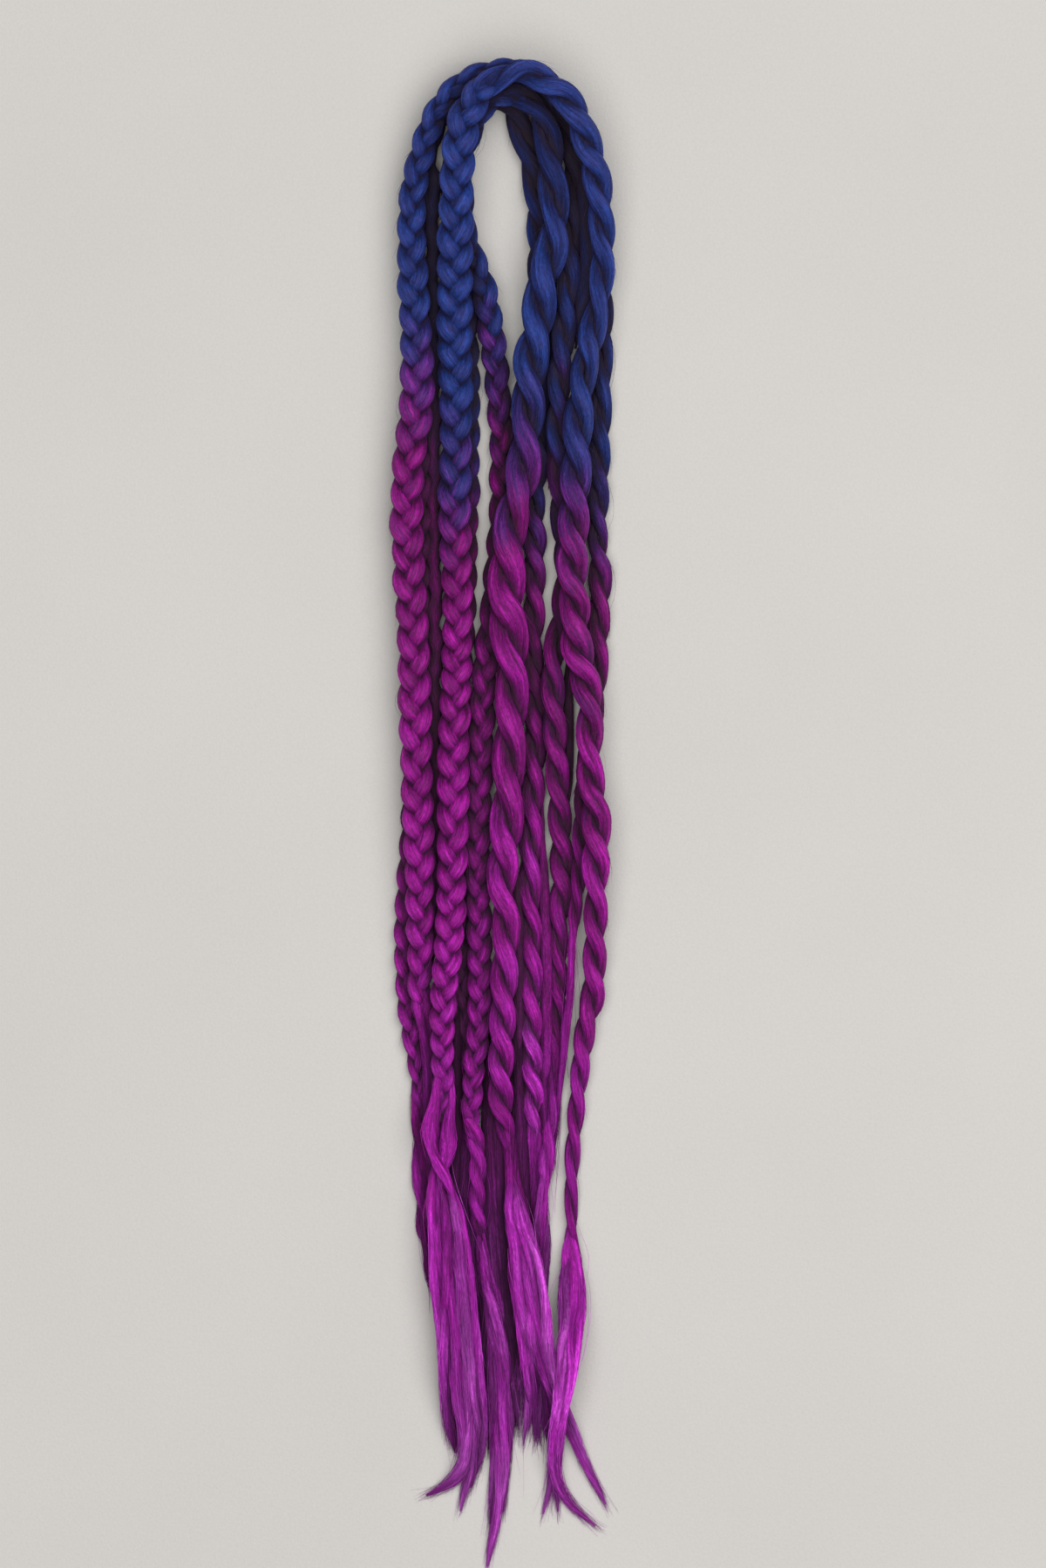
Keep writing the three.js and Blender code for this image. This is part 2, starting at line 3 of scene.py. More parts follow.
import bpy
import numpy as np
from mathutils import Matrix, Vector


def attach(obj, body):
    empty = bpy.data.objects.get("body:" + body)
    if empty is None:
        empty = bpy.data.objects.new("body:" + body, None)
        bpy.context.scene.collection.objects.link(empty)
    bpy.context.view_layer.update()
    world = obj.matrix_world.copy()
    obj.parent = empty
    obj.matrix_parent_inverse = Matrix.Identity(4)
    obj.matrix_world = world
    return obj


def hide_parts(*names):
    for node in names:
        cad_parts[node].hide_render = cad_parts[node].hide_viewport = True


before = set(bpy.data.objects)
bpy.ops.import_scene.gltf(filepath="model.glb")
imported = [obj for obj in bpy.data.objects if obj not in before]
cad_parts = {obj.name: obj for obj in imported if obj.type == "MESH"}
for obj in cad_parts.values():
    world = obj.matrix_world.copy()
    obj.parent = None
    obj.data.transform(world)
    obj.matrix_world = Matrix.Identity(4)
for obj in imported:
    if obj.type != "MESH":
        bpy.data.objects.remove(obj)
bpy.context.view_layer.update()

# ---------------------------------------------------------------------------------------------------------------
# Routes of the locks, as in the CAD: columns x, y and width in metres, one row a section, from the fold outwards.
# ---------------------------------------------------------------------------------------------------------------
ROUTES = {
    # front lock: second plait from the left, rides over the fold, outer rope twist
    1: {
        "braid": [
            (0.0047, 0.3066, 0.0108), (-0.004, 0.3033, 0.0115), (-0.0104, 0.2976, 0.013), (-0.0176, 0.2781, 0.0144),
            (-0.0198, 0.2249, 0.0151), (-0.0194, 0.1529, 0.0137), (-0.0202, 0.1277, 0.0144), (-0.0187, 0.0809, 0.0126),
            (-0.0202, 0.0305, 0.0137), (-0.0216, -0.0415, 0.013), (-0.0248, -0.0811, 0.0115), (-0.0248, -0.111, 0.0094),
        ],
        "braid_tail": [
            (-0.0256, -0.1225, 0.0108), (-0.0266, -0.1333, 0.0108), (-0.0252, -0.1495, 0.0086), (-0.0198, -0.1891, 0.0108),
            (-0.0133, -0.2557, 0.0072), (-0.0148, -0.2691, 0.0043), (-0.0191, -0.2763, 0.0025), (-0.0295, -0.2809, 0.0011),
        ],
        "twist": [
            (0.0047, 0.3066, 0.0108), (0.0122, 0.3066, 0.0112), (0.0202, 0.3019, 0.0119), (0.027, 0.294, 0.0119),
            (0.0317, 0.2832, 0.0122), (0.0392, 0.2551, 0.0115), (0.041, 0.2231, 0.0108), (0.0328, 0.1781, 0.0122),
            (0.0302, 0.1403, 0.013), (0.0284, 0.1007, 0.0137), (0.0299, 0.0845, 0.013), (0.0299, 0.0701, 0.0137),
            (0.036, 0.0467, 0.0122), (0.0356, 0.0233, 0.0119), (0.0385, -0.0055, 0.013), (0.0382, -0.0415, 0.0108),
            (0.0371, -0.0757, 0.0097), (0.0338, -0.0883, 0.0086), (0.0288, -0.1405, 0.0065), (0.0284, -0.1726, 0.0054),
        ],
        "twist_tail": [
            (0.0288, -0.1819, 0.0094), (0.0288, -0.1981, 0.0119), (0.0266, -0.2251, 0.0079), (0.0216, -0.2539, 0.0043),
            (0.0227, -0.2773, 0.0025), (0.0374, -0.2925, 0.0007),
        ],
    },
    # outermost plait on the left, outermost twist on the right
    2: {
        "braid": [
            (0.004, 0.3087, 0.0094), (-0.014, 0.3044, 0.0108), (-0.0263, 0.2918, 0.0108), (-0.0338, 0.2717, 0.0112),
            (-0.0378, 0.2447, 0.0119), (-0.0353, 0.1781, 0.0144), (-0.0392, 0.1439, 0.0137), (-0.0396, 0.1115, 0.0137),
            (-0.0374, 0.0773, 0.0137), (-0.036, 0.0341, 0.0137), (-0.0338, -0.0451, 0.0122), (-0.0342, -0.0739, 0.0094),
        ],
        "braid_tail": [
            (-0.032, -0.0883, 0.0072), (-0.0295, -0.1063, 0.0058), (-0.0248, -0.1747, 0.0072), (-0.0169, -0.2467, 0.0058),
            (-0.0158, -0.2611, 0.0022),
        ],
        "twist": [
            (0.004, 0.3087, 0.0094), (0.0133, 0.3055, 0.0094), (0.0274, 0.2915, 0.0094), (0.0364, 0.2681, 0.0094),
            (0.0414, 0.2123, 0.0086), (0.04, 0.1565, 0.0094), (0.0392, 0.1169, 0.0094), (0.04, 0.0953, 0.0101),
            (0.0374, 0.0449, 0.0094), (0.0324, 0.0017, 0.0068), (0.0313, -0.0271, 0.0065), (0.0295, -0.0433, 0.005),
        ],
        "twist_tail": [
            (0.0284, -0.0577, 0.0036), (0.0277, -0.0739, 0.0036), (0.0238, -0.1315, 0.0032), (0.0184, -0.1819, 0.0014),
        ],
    },
    # inner plait, crossing under the inner front twist
    3: {
        "braid": [
            (0.004, 0.2983, 0.0094), (-0.0025, 0.2969, 0.0101), (-0.0083, 0.2918, 0.0101), (-0.0166, 0.2717, 0.0101),
            (-0.0166, 0.2465, 0.0101), (-0.014, 0.2339, 0.0108), (-0.0068, 0.2123, 0.0115), (-0.0014, 0.1673, 0.0108),
            (0, 0.1295, 0.0115), (-0.0036, 0.0881, 0.0115), (-0.0079, 0.0521, 0.0115), (-0.0104, -0.0127, 0.0115),
            (-0.0094, -0.0775, 0.0108), (-0.0126, -0.1117, 0.0094), (-0.013, -0.1261, 0.0079),
        ],
        "braid_tail": [
            (-0.0104, -0.1405, 0.0072), (-0.0104, -0.1657, 0.0065), (-0.004, -0.1981, 0.0079), (-0.0022, -0.2179, 0.0094),
            (-0.0014, -0.2773, 0.0068), (-0.0061, -0.3133, 0.0011),
        ],
        "twist": [
            (0.004, 0.2983, 0.0094), (0.0104, 0.2954, 0.0108), (0.0155, 0.2886, 0.0115), (0.0187, 0.2771, 0.0122),
            (0.0212, 0.2483, 0.013), (0.0198, 0.2321, 0.0137), (0.0158, 0.2195, 0.0144), (0.0137, 0.1979, 0.0144),
            (0.0115, 0.1871, 0.0151), (0.0083, 0.1392, 0.0144), (0.004, 0.1259, 0.0144), (0.0014, 0.0917, 0.0158),
            (0.0036, 0.0557, 0.0151), (0.0018, 0.0017, 0.0144), (-0.0004, -0.0307, 0.0122), (0.0011, -0.0469, 0.0115),
            (-0.0011, -0.1117, 0.0108), (0.0007, -0.1279, 0.0086),
        ],
        "twist_tail": [
            (0.0032, -0.1405, 0.0072), (0.0043, -0.1549, 0.009), (0.0094, -0.1855, 0.0137), (0.0144, -0.2143, 0.0112),
            (0.0277, -0.2532, 0.0065), (0.0418, -0.2835, 0.0011),
        ],
    },
    # lowest lock, hidden under the front plait and the inner twist
    4: {
        "braid": [
            (-0.0004, 0.2965, 0.0086), (-0.0061, 0.2958, 0.0094), (-0.0115, 0.2911, 0.0094), (-0.0191, 0.2735, 0.0101),
            (-0.0202, 0.2465, 0.0101), (-0.0148, 0.1943, 0.0101), (-0.0144, 0.1493, 0.0101), (-0.0158, 0.0827, 0.0094),
            (-0.018, 0.0395, 0.0094), (-0.0191, -0.0073, 0.0094), (-0.0176, -0.0523, 0.0094), (-0.0144, -0.1027, 0.0072),
        ],
        "braid_tail": [
            (-0.0148, -0.1189, 0.0058), (-0.0158, -0.1567, 0.005), (-0.0126, -0.1999, 0.0065), (-0.0086, -0.2413, 0.0058),
            (-0.0076, -0.2575, 0.0018),
        ],
        "twist": [
            (-0.0004, 0.2965, 0.0086), (0.0036, 0.2933, 0.0094), (0.0068, 0.2843, 0.0094), (0.0126, 0.2645, 0.0094),
            (0.0155, 0.2321, 0.0101), (0.0158, 0.1925, 0.0101), (0.013, 0.1313, 0.0094), (0.013, 0.0845, 0.009),
            (0.0119, 0.0683, 0.0086), (0.0133, 0.0341, 0.0094), (0.0112, -0.0235, 0.0097), (0.0122, -0.0631, 0.009),
            (0.0115, -0.0829, 0.0086), (0.0126, -0.1153, 0.009), (0.0122, -0.1287, 0.0065),
        ],
        "twist_tail": [
            (0.0133, -0.1441, 0.0061), (0.0144, -0.1783, 0.0072), (0.0094, -0.2377, 0.0108), (0.0076, -0.2539, 0.0072),
        ],
    },
    # low lock beside the outermost plait, middle twist
    5: {
        "braid": [
            (0.0054, 0.3026, 0.009), (-0.0104, 0.3012, 0.0094), (-0.0176, 0.2976, 0.0094), (-0.0284, 0.2832, 0.0097),
            (-0.0346, 0.2591, 0.0101), (-0.0371, 0.2249, 0.0101), (-0.0335, 0.1385, 0.0108), (-0.0349, 0.0737, 0.0101),
            (-0.0371, 0.0017, 0.0101), (-0.0396, -0.0361, 0.0101), (-0.0396, -0.0739, 0.0094), (-0.0342, -0.1164, 0.0065),
        ],
        "braid_tail": [
            (-0.0342, -0.1315, 0.0061), (-0.031, -0.1747, 0.0072), (-0.0205, -0.2269, 0.0072), (-0.0198, -0.2539, 0.0047),
            (-0.0209, -0.2601, 0.0018),
        ],
        "twist": [
            (0.0054, 0.3026, 0.009), (0.0194, 0.2951, 0.0094), (0.0274, 0.276, 0.0094), (0.0288, 0.2447, 0.0094),
            (0.023, 0.1727, 0.0094), (0.0238, 0.1331, 0.0094), (0.0263, 0.0971, 0.0094), (0.0216, 0.0683, 0.0094),
            (0.0205, 0.0539, 0.0094), (0.0234, 0.0017, 0.0094), (0.0248, -0.0307, 0.0094), (0.023, -0.0451, 0.0072),
            (0.023, -0.0775, 0.0068), (0.022, -0.0919, 0.005),
        ],
        "twist_tail": [
            (0.0205, -0.1099, 0.004), (0.018, -0.1441, 0.0043), (0.0158, -0.1603, 0.0047), (0.0144, -0.1999, 0.0054),
            (0.0158, -0.2395, 0.0065), (0.0191, -0.264, 0.0018),
        ],
    },
}
MM = 0.001              # below, lengths are in mm until a mesh is made
ROUTES = {k: {p: [tuple(v / MM for v in row) for row in rows] for p, rows in r.items()} for k, r in ROUTES.items()}

LAYERS = [4, 5, 3, 2, 1]
LOCK_GAP = 0.8
BRAID_FLATNESS, TWIST_FLATNESS, TAIL_FLATNESS, FOLD_FLATNESS = 0.64, 0.80, 0.52, 0.64
FINE_STEP = 2.5
BRIDGE_PASSES = 60
LIFT_REACH = 2
OWN_REACH = 50.0
FLAT_BOTTOM = 0.93

# How each leg is worked: pitch of a V or of a full turn (mm, at the fold and at the end), a starting phase, the
# stretch (mm, along Y) over which blue gives way to magenta, how far from the fold's middle it begins, and, where
# they can be seen, the heights (mm, along Y) at which its outline bulges. Lift scales a leg's painted light, and
# under paints shade below the lock that rides over the fold (from Y, over how many mm, by how much).
WORK = {
    "braid_1": dict(pitch=(13.0, 10.6), phase=0.3, ombre=(167.26, 88.06), begin=15.0, bulges=[
        276.34, 263.74, 251.5, 238.9, 227.02, 215.86, 204.7, 193.54, 182.38, 170.86, 158.62, 146.38, 134.14, 121.9,
        110.02, 98.5, 87.7, 76.54, 66.46, 57.82, 48.1, 36.94, 24.7, 13.54, 2.38, -11.3, -23.18, -33.62,
        -42.98, -53.42, -63.14, -73.22, -82.94, -92.66, -102.02,
    ]),
    "braid_2": dict(pitch=(12.7, 12.0), phase=0.62, ombre=(217.66, 134.86), begin=2.0, bulges=[
        279.94, 268.42, 256.54, 244.3, 231.7, 219.82, 207.58, 195.34, 183.46, 171.22, 158.62, 146.74, 133.78, 122.26,
        109.66, 98.14, 85.9, 74.38, 61.06, 49.54, 36.58, 23.98, 11.02, -0.14, -11.66, -23.18, -34.34, -45.86,
        -57.38, -68.9,
    ]),
    "braid_3": dict(pitch=(12.6, 11.8), phase=0.1, ombre=(214.78, 140.26), begin=0.0, lift=0.92, bulges=[
        236.38, 224.14, 212.62, 201.1, 190.3, 179.5, 165.46, 153.58, 140.62, 127.66, 113.62, 101.02, 86.62, 71.5,
        59.62, 47.02, 34.78, 22.54, 10.66, -1.22, -13.1, -24.62, -36.14, -47.3, -58.1, -68.9, -79.34, -89.78,
        -99.86, -109.94, -119.3,
    ]),
    "braid_4": dict(pitch=(12.6, 11.8), phase=0.45, ombre=(167.26, 102.46), begin=0.0, seen=0.4),
    "braid_5": dict(pitch=(12.6, 11.4), phase=0.8, ombre=(210.46, 127.66), begin=0.0, seen=0.5, bulges=[
        264.46, 252.58, 240.7, 228.46, 216.58, 204.7, 192.46, 180.58, 168.34, 156.46, 144.58, 132.34, 120.46, 108.58,
        96.34, 84.46, 72.58, 60.34, 48.46, 36.58, 24.34, 12.46, 0.58, -10.94, -24.26, -35.42, -47.3, -58.1,
        -69.62, -80.42, -91.22, -103.46, -113.54,
    ]),
    "twist_1": dict(pitch=(38.0, 33.0), phase=0.15, ombre=(167.26, 113.26), begin=-15.0, bulges=[
        293.62, 277.06, 261.58, 242.14, 223.42, 201.82, 183.46, 161.86, 139.9, 121.18, 103.18, 85.9, 68.62, 53.5,
        34.78, 15.34, -3.02, -22.1, -41.54, -59.54, -76.1, -91.94, -106.7, -123.62, -140.18, -159.98,
    ]),
    "twist_2": dict(pitch=(37.0, 34.0), phase=0.55, ombre=(145.66, 102.46), begin=-2.0, bulges=[
        280.3, 263.02, 244.66, 225.94, 206.86, 188.86, 166.54, 147.82, 130.54, 114.34, 98.5, 80.14, 62.14, 40.54,
        23.26, 7.06, -9.14, -24.98,
    ]),
    "twist_3": dict(pitch=(47.0, 42.0), phase=0.35, ombre=(178.06, 102.46), begin=0.0, under=(238.0, 34.0, 0.4), bulges=[
        278.86, 255.46, 232.06, 209.74, 188.14, 167.26, 142.78, 121.54, 96.34, 75.1, 50.98, 23.62, -3.02, -24.26,
        -46.22, -68.18, -84.74, -100.94, -116.42,
    ]),
    "twist_4": dict(pitch=(42.0, 36.0), phase=0.7, ombre=(156.46, 84.46), begin=0.0, wide=1.1, seen=0.8, lift=1.35, under=(226.0, 40.0, 0.6), bulges=[
        281.02, 259.06, 241.42, 224.5, 207.58, 191.02, 174.46, 158.26, 143.14, 127.66, 113.62, 99.22, 81.94, 64.3,
        46.3, 27.58, 8.86, -9.5, -30.74, -49.46, -69.98, -87.26, -103.46, -117.86,
    ]),
    "twist_5": dict(pitch=(42.0, 36.0), phase=0.9, ombre=(199.66, 102.46), begin=0.0, wide=1.1, seen=0.8, under=(215.0, 45.0, 0.5), bulges=[
        278.86, 259.06, 239.26, 219.46, 199.66, 179.86, 160.06, 140.26, 120.1, 105.7, 90.58, 71.14, 52.06, 34.06,
        16.06, -1.94, -19.94, -36.14, -52.34, -68.54, -82.94,
    ]),
}


# ---------------------------------------------------------------------------------------------------------------
# Centre lines, settled on one another as in the CAD.
# ---------------------------------------------------------------------------------------------------------------
def catmull(rows, sub=40):
    rows = np.asarray(rows, float)
    q = np.vstack([2 * rows[0] - rows[1], rows, 2 * rows[-1] - rows[-2]])
    out = []
    for i in range(1, len(q) - 2):
        p0, p1, p2, p3 = q[i - 1:i + 3]
        t = (np.arange(sub) / sub)[:, None]
        out.append(0.5 * (2 * p1 + (p2 - p0) * t + (2 * p0 - 5 * p1 + 4 * p2 - p3) * t * t
                          + (3 * p1 - p0 - 3 * p2 + p3) * t ** 3))
    return np.vstack(out + [rows[-1:]])


def lock_line(route):
    rows = [(*r, TAIL_FLATNESS) for r in reversed(route["braid_tail"])]
    braid_end = len(rows)
    rows += [(*r, BRAID_FLATNESS) for r in reversed(route["braid"])]
    fold = len(rows) - 1
    rows[fold] = (*rows[fold][:3], FOLD_FLATNESS)
    rows += [(*r, TWIST_FLATNESS) for r in route["twist"][1:]]
    twist_end = len(rows) - 1
    rows += [(*r, TAIL_FLATNESS) for r in route["twist_tail"]]
    dense = catmull(rows)
    along = np.concatenate([[0], np.cumsum(np.hypot(*np.diff(dense[:, :2], axis=0).T))])
    count = int(math.floor(along[-1] / FINE_STEP + 0.5)) + 1
    s = np.linspace(0, along[-1], count)
    x, y, w, flat = (np.interp(s, along, dense[:, c]) for c in range(4))
    at = dict(braid_end=along[braid_end * 40], fold=along[fold * 40], twist_end=along[twist_end * 40], total=along[-1])
    a, b = w / 2, w / 2 * flat
    foot = np.where((s > at["fold"]) & (s < at["twist_end"]), b, FLAT_BOTTOM * b)
    return dict(s=s, x=x, y=y, a=a, b=b, foot=foot, at=at, z=foot.copy())


def lift_over(line, pick, low):
    """Height each picked station needs to clear the stations in low."""
    need = np.zeros(len(line["s"]))
    if low is None or not len(low["x"]):
        return need
    for k in np.nonzero(pick)[0]:
        reach = line["a"][k] + low["a"] + LOCK_GAP
        d = np.hypot(line["x"][k] - low["x"], line["y"][k] - low["y"])
        ok = d < reach
        if "s" in low:
            ok &= line["s"][k] - low["s"] > OWN_REACH
        if ok.any():
            need[k] = (low["z"][ok] + (line["b"][k] + low["b"][ok] + LOCK_GAP)
                       * np.sqrt(1 - (d[ok] / reach[ok]) ** 2)).max()
    return need


def bridge(line, lift):
    above = lift - line["foot"]
    need = above.copy()
    for k in range(1, LIFT_REACH + 1):
        need[k:] = np.maximum(need[k:], above[:-k])
        need[:-k] = np.maximum(need[:-k], above[k:])
    need = np.maximum(need, 0) + line["foot"]
    z = need.copy()
    for _ in range(BRIDGE_PASSES):
        z[1:-1] = np.maximum(need[1:-1], (z[:-2] + z[2:]) / 2)
    line["z"] = z


def settle(lines):
    low = None
    for number in LAYERS:
        line = lines[number]
        need = np.maximum(line["foot"], lift_over(line, np.ones(len(line["s"]), bool), low))
        bridge(line, need)
        own = line["s"] < line["at"]["fold"]
        mine = {k: line[k][own] for k in ("s", "x", "y", "a", "b", "z")}
        bridge(line, np.maximum(need, lift_over(line, ~own, mine)))
        parts = {k: line[k] for k in ("x", "y", "a", "b", "z")}
        low = parts if low is None else {k: np.concatenate([low[k], parts[k]]) for k in parts}


def smooth(v, n=2):
    for _ in range(n):
        v = np.concatenate([v[:1], (v[:-2] + 2 * v[1:-1] + v[2:]) / 4, v[-1:]])
    return v


class Path:
    """A lock's centre line: position, half width, half thickness and a frame at any distance along it."""

    def __init__(self, line):
        self.at = line["at"]
        self.s = line["s"]
        self.data = {k: smooth(line[k], 2) for k in ("x", "y", "z", "a", "b")}
        x, y = self.data["x"], self.data["y"]
        self.data["x"] = x + 1.2 * np.exp(-((y - 272) / 16) ** 2) * ease((x - 18) / 14)
        self.data["y"] = y - 1.1 * ease((y - 285) / 20) - 1.2 * np.exp(-((x - 18) / 6) ** 2) * ease((y - 290) / 12)
        tx, ty = np.gradient(self.data["x"]), np.gradient(self.data["y"])
        n = np.hypot(tx, ty)
        self.data["tx"], self.data["ty"] = smooth(tx / n, 2), smooth(ty / n, 2)

    def get(self, key, s):
        """Cubic interpolation between even stations."""
        v = self.data[key]
        u = np.clip(s / self.s[1], 0, len(v) - 1.000001)
        i = u.astype(int)
        t = u - i
        g = lambda j: v[np.clip(j, 0, len(v) - 1)]
        p0, p1, p2, p3 = g(i - 1), g(i), g(i + 1), g(i + 2)
        return 0.5 * (2 * p1 + (p2 - p0) * t + (2 * p0 - 5 * p1 + 4 * p2 - p3) * t * t
                      + (3 * p1 - p0 - 3 * p2 + p3) * t ** 3)

    def frame(self, s):
        c = np.stack([self.get(k, s) for k in "xyz"], 1)
        tx, ty = self.get("tx", s), self.get("ty", s)
        n = np.hypot(tx, ty)
        tx, ty = tx / n, ty / n
        over = np.where(s < 0, s, np.where(s > self.s[-1], s - self.s[-1], 0.0))
        c[:, 0] += tx * over
        c[:, 1] += ty * over
        side = np.stack([-ty, tx, np.zeros_like(n)], 1)
        return c, side, self.get("a", s), self.get("b", s)


# ---------------------------------------------------------------------------------------------------------------
# Meshes gathered from strands and single hairs.
# ---------------------------------------------------------------------------------------------------------------
UP = np.array([0, 0, 1.0])


def unit(v):
    return v / np.maximum(np.linalg.norm(v, axis=-1, keepdims=True), 1e-12)


def ease(x):
    x = np.clip(x, 0, 1)
    return x * x * (3 - 2 * x)


class Gather:
    """Collects vertices, quads, map coordinates and the values that the hair material reads: tone, painted shade and
    fibre coordinates.
    """

    def __init__(self):
        self.v, self.f, self.uv = [], [], []
        self.tone, self.cav, self.fib, self.least_light = [], [], [], []
        self.n = 0

    def grid(self, pts, tone, cav, fib, cell, least_light=0.0):
        """pts: strands x rings x around x 3, closed around. cell: strands x 4, its place in the map (u0, v0, du, dv)."""
        S, R, M, _ = pts.shape
        idx = self.n + np.arange(S * R * M).reshape(S, R, M)
        k = np.arange(M)
        k2 = (k + 1) % M
        quads = np.stack([idx[:, :-1][:, :, k], idx[:, :-1][:, :, k2], idx[:, 1:][:, :, k2], idx[:, 1:][:, :, k]], -1)
        self.v.append(pts.reshape(-1, 3))
        self.f.append(quads.reshape(-1, 4))
        self.tone.append(np.broadcast_to(tone, (S, R, M)).reshape(-1))
        self.cav.append(np.broadcast_to(cav, (S, R, M)).reshape(-1))
        self.fib.append(np.broadcast_to(fib, (S, R, M, 3)).reshape(-1, 3))
        self.least_light.append(np.full(S * R * M, least_light))
        u = np.arange(M + 1) / M
        w = np.linspace(0, 1, R)
        U = cell[:, None, None, 0] + cell[:, None, None, 2] * u[None, None, :]
        V = cell[:, None, None, 1] + cell[:, None, None, 3] * w[None, :, None]
        U, V = np.broadcast_arrays(U, V)
        g = np.stack([U, V], -1)
        uv = np.stack([g[:, :-1, :-1], g[:, :-1, 1:], g[:, 1:, 1:], g[:, 1:, :-1]], 3)
        self.uv.append(uv.reshape(-1, 2))
        self.n += S * R * M

    def build(self, name, material, shade, power):
        v, f = np.vstack(self.v), np.vstack(self.f)
        # painted shade: each vertex's own painted shade times the light map's relief shade (kept above a per-vertex
        # floor of painted light), on a contrast curve, stored as an attribute that darkens the hair colour
        cav = 1.20 * (np.concatenate(self.cav) * np.maximum(shade(v), np.concatenate(self.least_light))) ** power
        v = v * MM
        v[:, 2] = np.maximum(v[:, 2], 0.00003)
        me = bpy.data.meshes.new(name)
        me.vertices.add(len(v))
        me.vertices.foreach_set("co", v.astype(np.float32).ravel())
        me.loops.add(f.size)
        me.loops.foreach_set("vertex_index", f.astype(np.int32).ravel())
        me.polygons.add(len(f))
        me.polygons.foreach_set("loop_start", np.arange(0, f.size, 4, dtype=np.int32))
        me.polygons.foreach_set("use_smooth", np.ones(len(f), bool))
        layer = me.uv_layers.new(name="OFBake")
        layer.uv.foreach_set("vector", np.vstack(self.uv).astype(np.float32).ravel())
        for key, values in (("tone", np.concatenate(self.tone)), ("cav", cav)):
            at = me.attributes.new(key, "FLOAT", "POINT")
            at.data.foreach_set("value", values.astype(np.float32))
        at = me.attributes.new("fib", "FLOAT_VECTOR", "POINT")
        at.data.foreach_set("vector", np.vstack(self.fib).astype(np.float32).ravel())
        me.update(calc_edges=True)
        me.materials.append(material)
        ob = bpy.data.objects.new(name, me)
        bpy.context.scene.collection.objects.link(ob)
        return ob, len(f) * 2


def light_map(gathers, cell=0.8):
    """How much light reaches a point, from how far it lies below or above the hank around it."""
    v = []
    for g in gathers:
        every, quads = np.vstack(g.v), np.vstack(g.f)
        v.append(every)
        v.append(every[quads].mean(1))
        v.append((every[quads[:, 0]] + every[quads[:, 3]]) / 2)
    v = np.vstack(v)
    low = v[:, :2].min(0) - 24
    size = ((v[:, :2].max(0) + 24 - low) / cell).astype(int) + 1
    top = np.zeros(size)
    at = ((v[:, :2] - low) / cell).astype(int)
    np.maximum.at(top, (at[:, 0], at[:, 1]), v[:, 2])
    # single empty cells take their neighbours' mean
    near = sum(np.roll(top, d, (0, 1)) for d in ((0, 1), (0, -1), (1, 0), (-1, 0)))
    full = sum((np.roll(top, d, (0, 1)) > 0).astype(float) for d in ((0, 1), (0, -1), (1, 0), (-1, 0)))
    top = np.where((top == 0) & (full >= 3), near / np.maximum(full, 1), top)

    def blur(a, width):
        k = np.arange(-int(3 * width / cell), int(3 * width / cell) + 1) * cell
        k = np.exp(-0.5 * (k / width) ** 2)
        k /= k.sum()
        a = np.apply_along_axis(lambda r: np.convolve(r, k, "same"), 0, a)
        return np.apply_along_axis(lambda r: np.convolve(r, k, "same"), 1, a)

    close, far = blur(top, 1.9), blur(top, 5.5)

    def read(a, p):
        u = (p[:, :2] - low) / cell - 0.5
        i = np.clip(u.astype(int), 0, np.array(a.shape) - 2)
        t = np.clip(u - i, 0, 1)
        x, y = i[:, 0], i[:, 1]
        return ((a[x, y] * (1 - t[:, 0]) + a[x + 1, y] * t[:, 0]) * (1 - t[:, 1])
                + (a[x, y + 1] * (1 - t[:, 0]) + a[x + 1, y + 1] * t[:, 0]) * t[:, 1])

    def shade(p):
        near, wide = p[:, 2] - read(close, p), p[:, 2] - read(far, p)
        return 0.14 + 0.92 * (0.62 * ease((near + NEAR[0]) / NEAR[1]) + 0.38 * ease((wide + WIDE[0]) / WIDE[1]))

    return shade, top, close, far


# relief (mm) at which the light starts to reach in, and over how many more it is full: against 2 mm and 6 mm around
NEAR, WIDE = (2.0, 5.0), (7.5, 13.5)


def wander(rng, n, step, scale):
    """Smooth random values along n points."""
    k = max(4, int(n * step / scale) + 3)
    x = np.linspace(0, k - 1.001, n)
    i = x.astype(int)
    t = ease(x - i)
    knots = rng.normal(size=k + 1)
    return knots[i] * (1 - t) + knots[i + 1] * t


def along_frames(P):
    """Tangent, flat sideways and upward directions along a path of points (rings x 3)."""
    T = unit(np.gradient(P, axis=0))
    e1 = unit(np.cross(UP[None], T))
    return T, e1, np.cross(T, e1)


def place_cells(count, row0, row1, columns):
    """Places for count strips in the band row0..row1 of the map, in a given number of columns."""
    rows = int(math.ceil(count / columns))
    k = np.arange(count)
    du, dv = 1 / columns, (row1 - row0) / rows
    return np.stack([(k % columns) * du + 0.04 * du, row0 + (k // columns) * dv + 0.02 * dv,
                     np.full(count, 0.92 * du), np.full(count, 0.96 * dv)], 1)


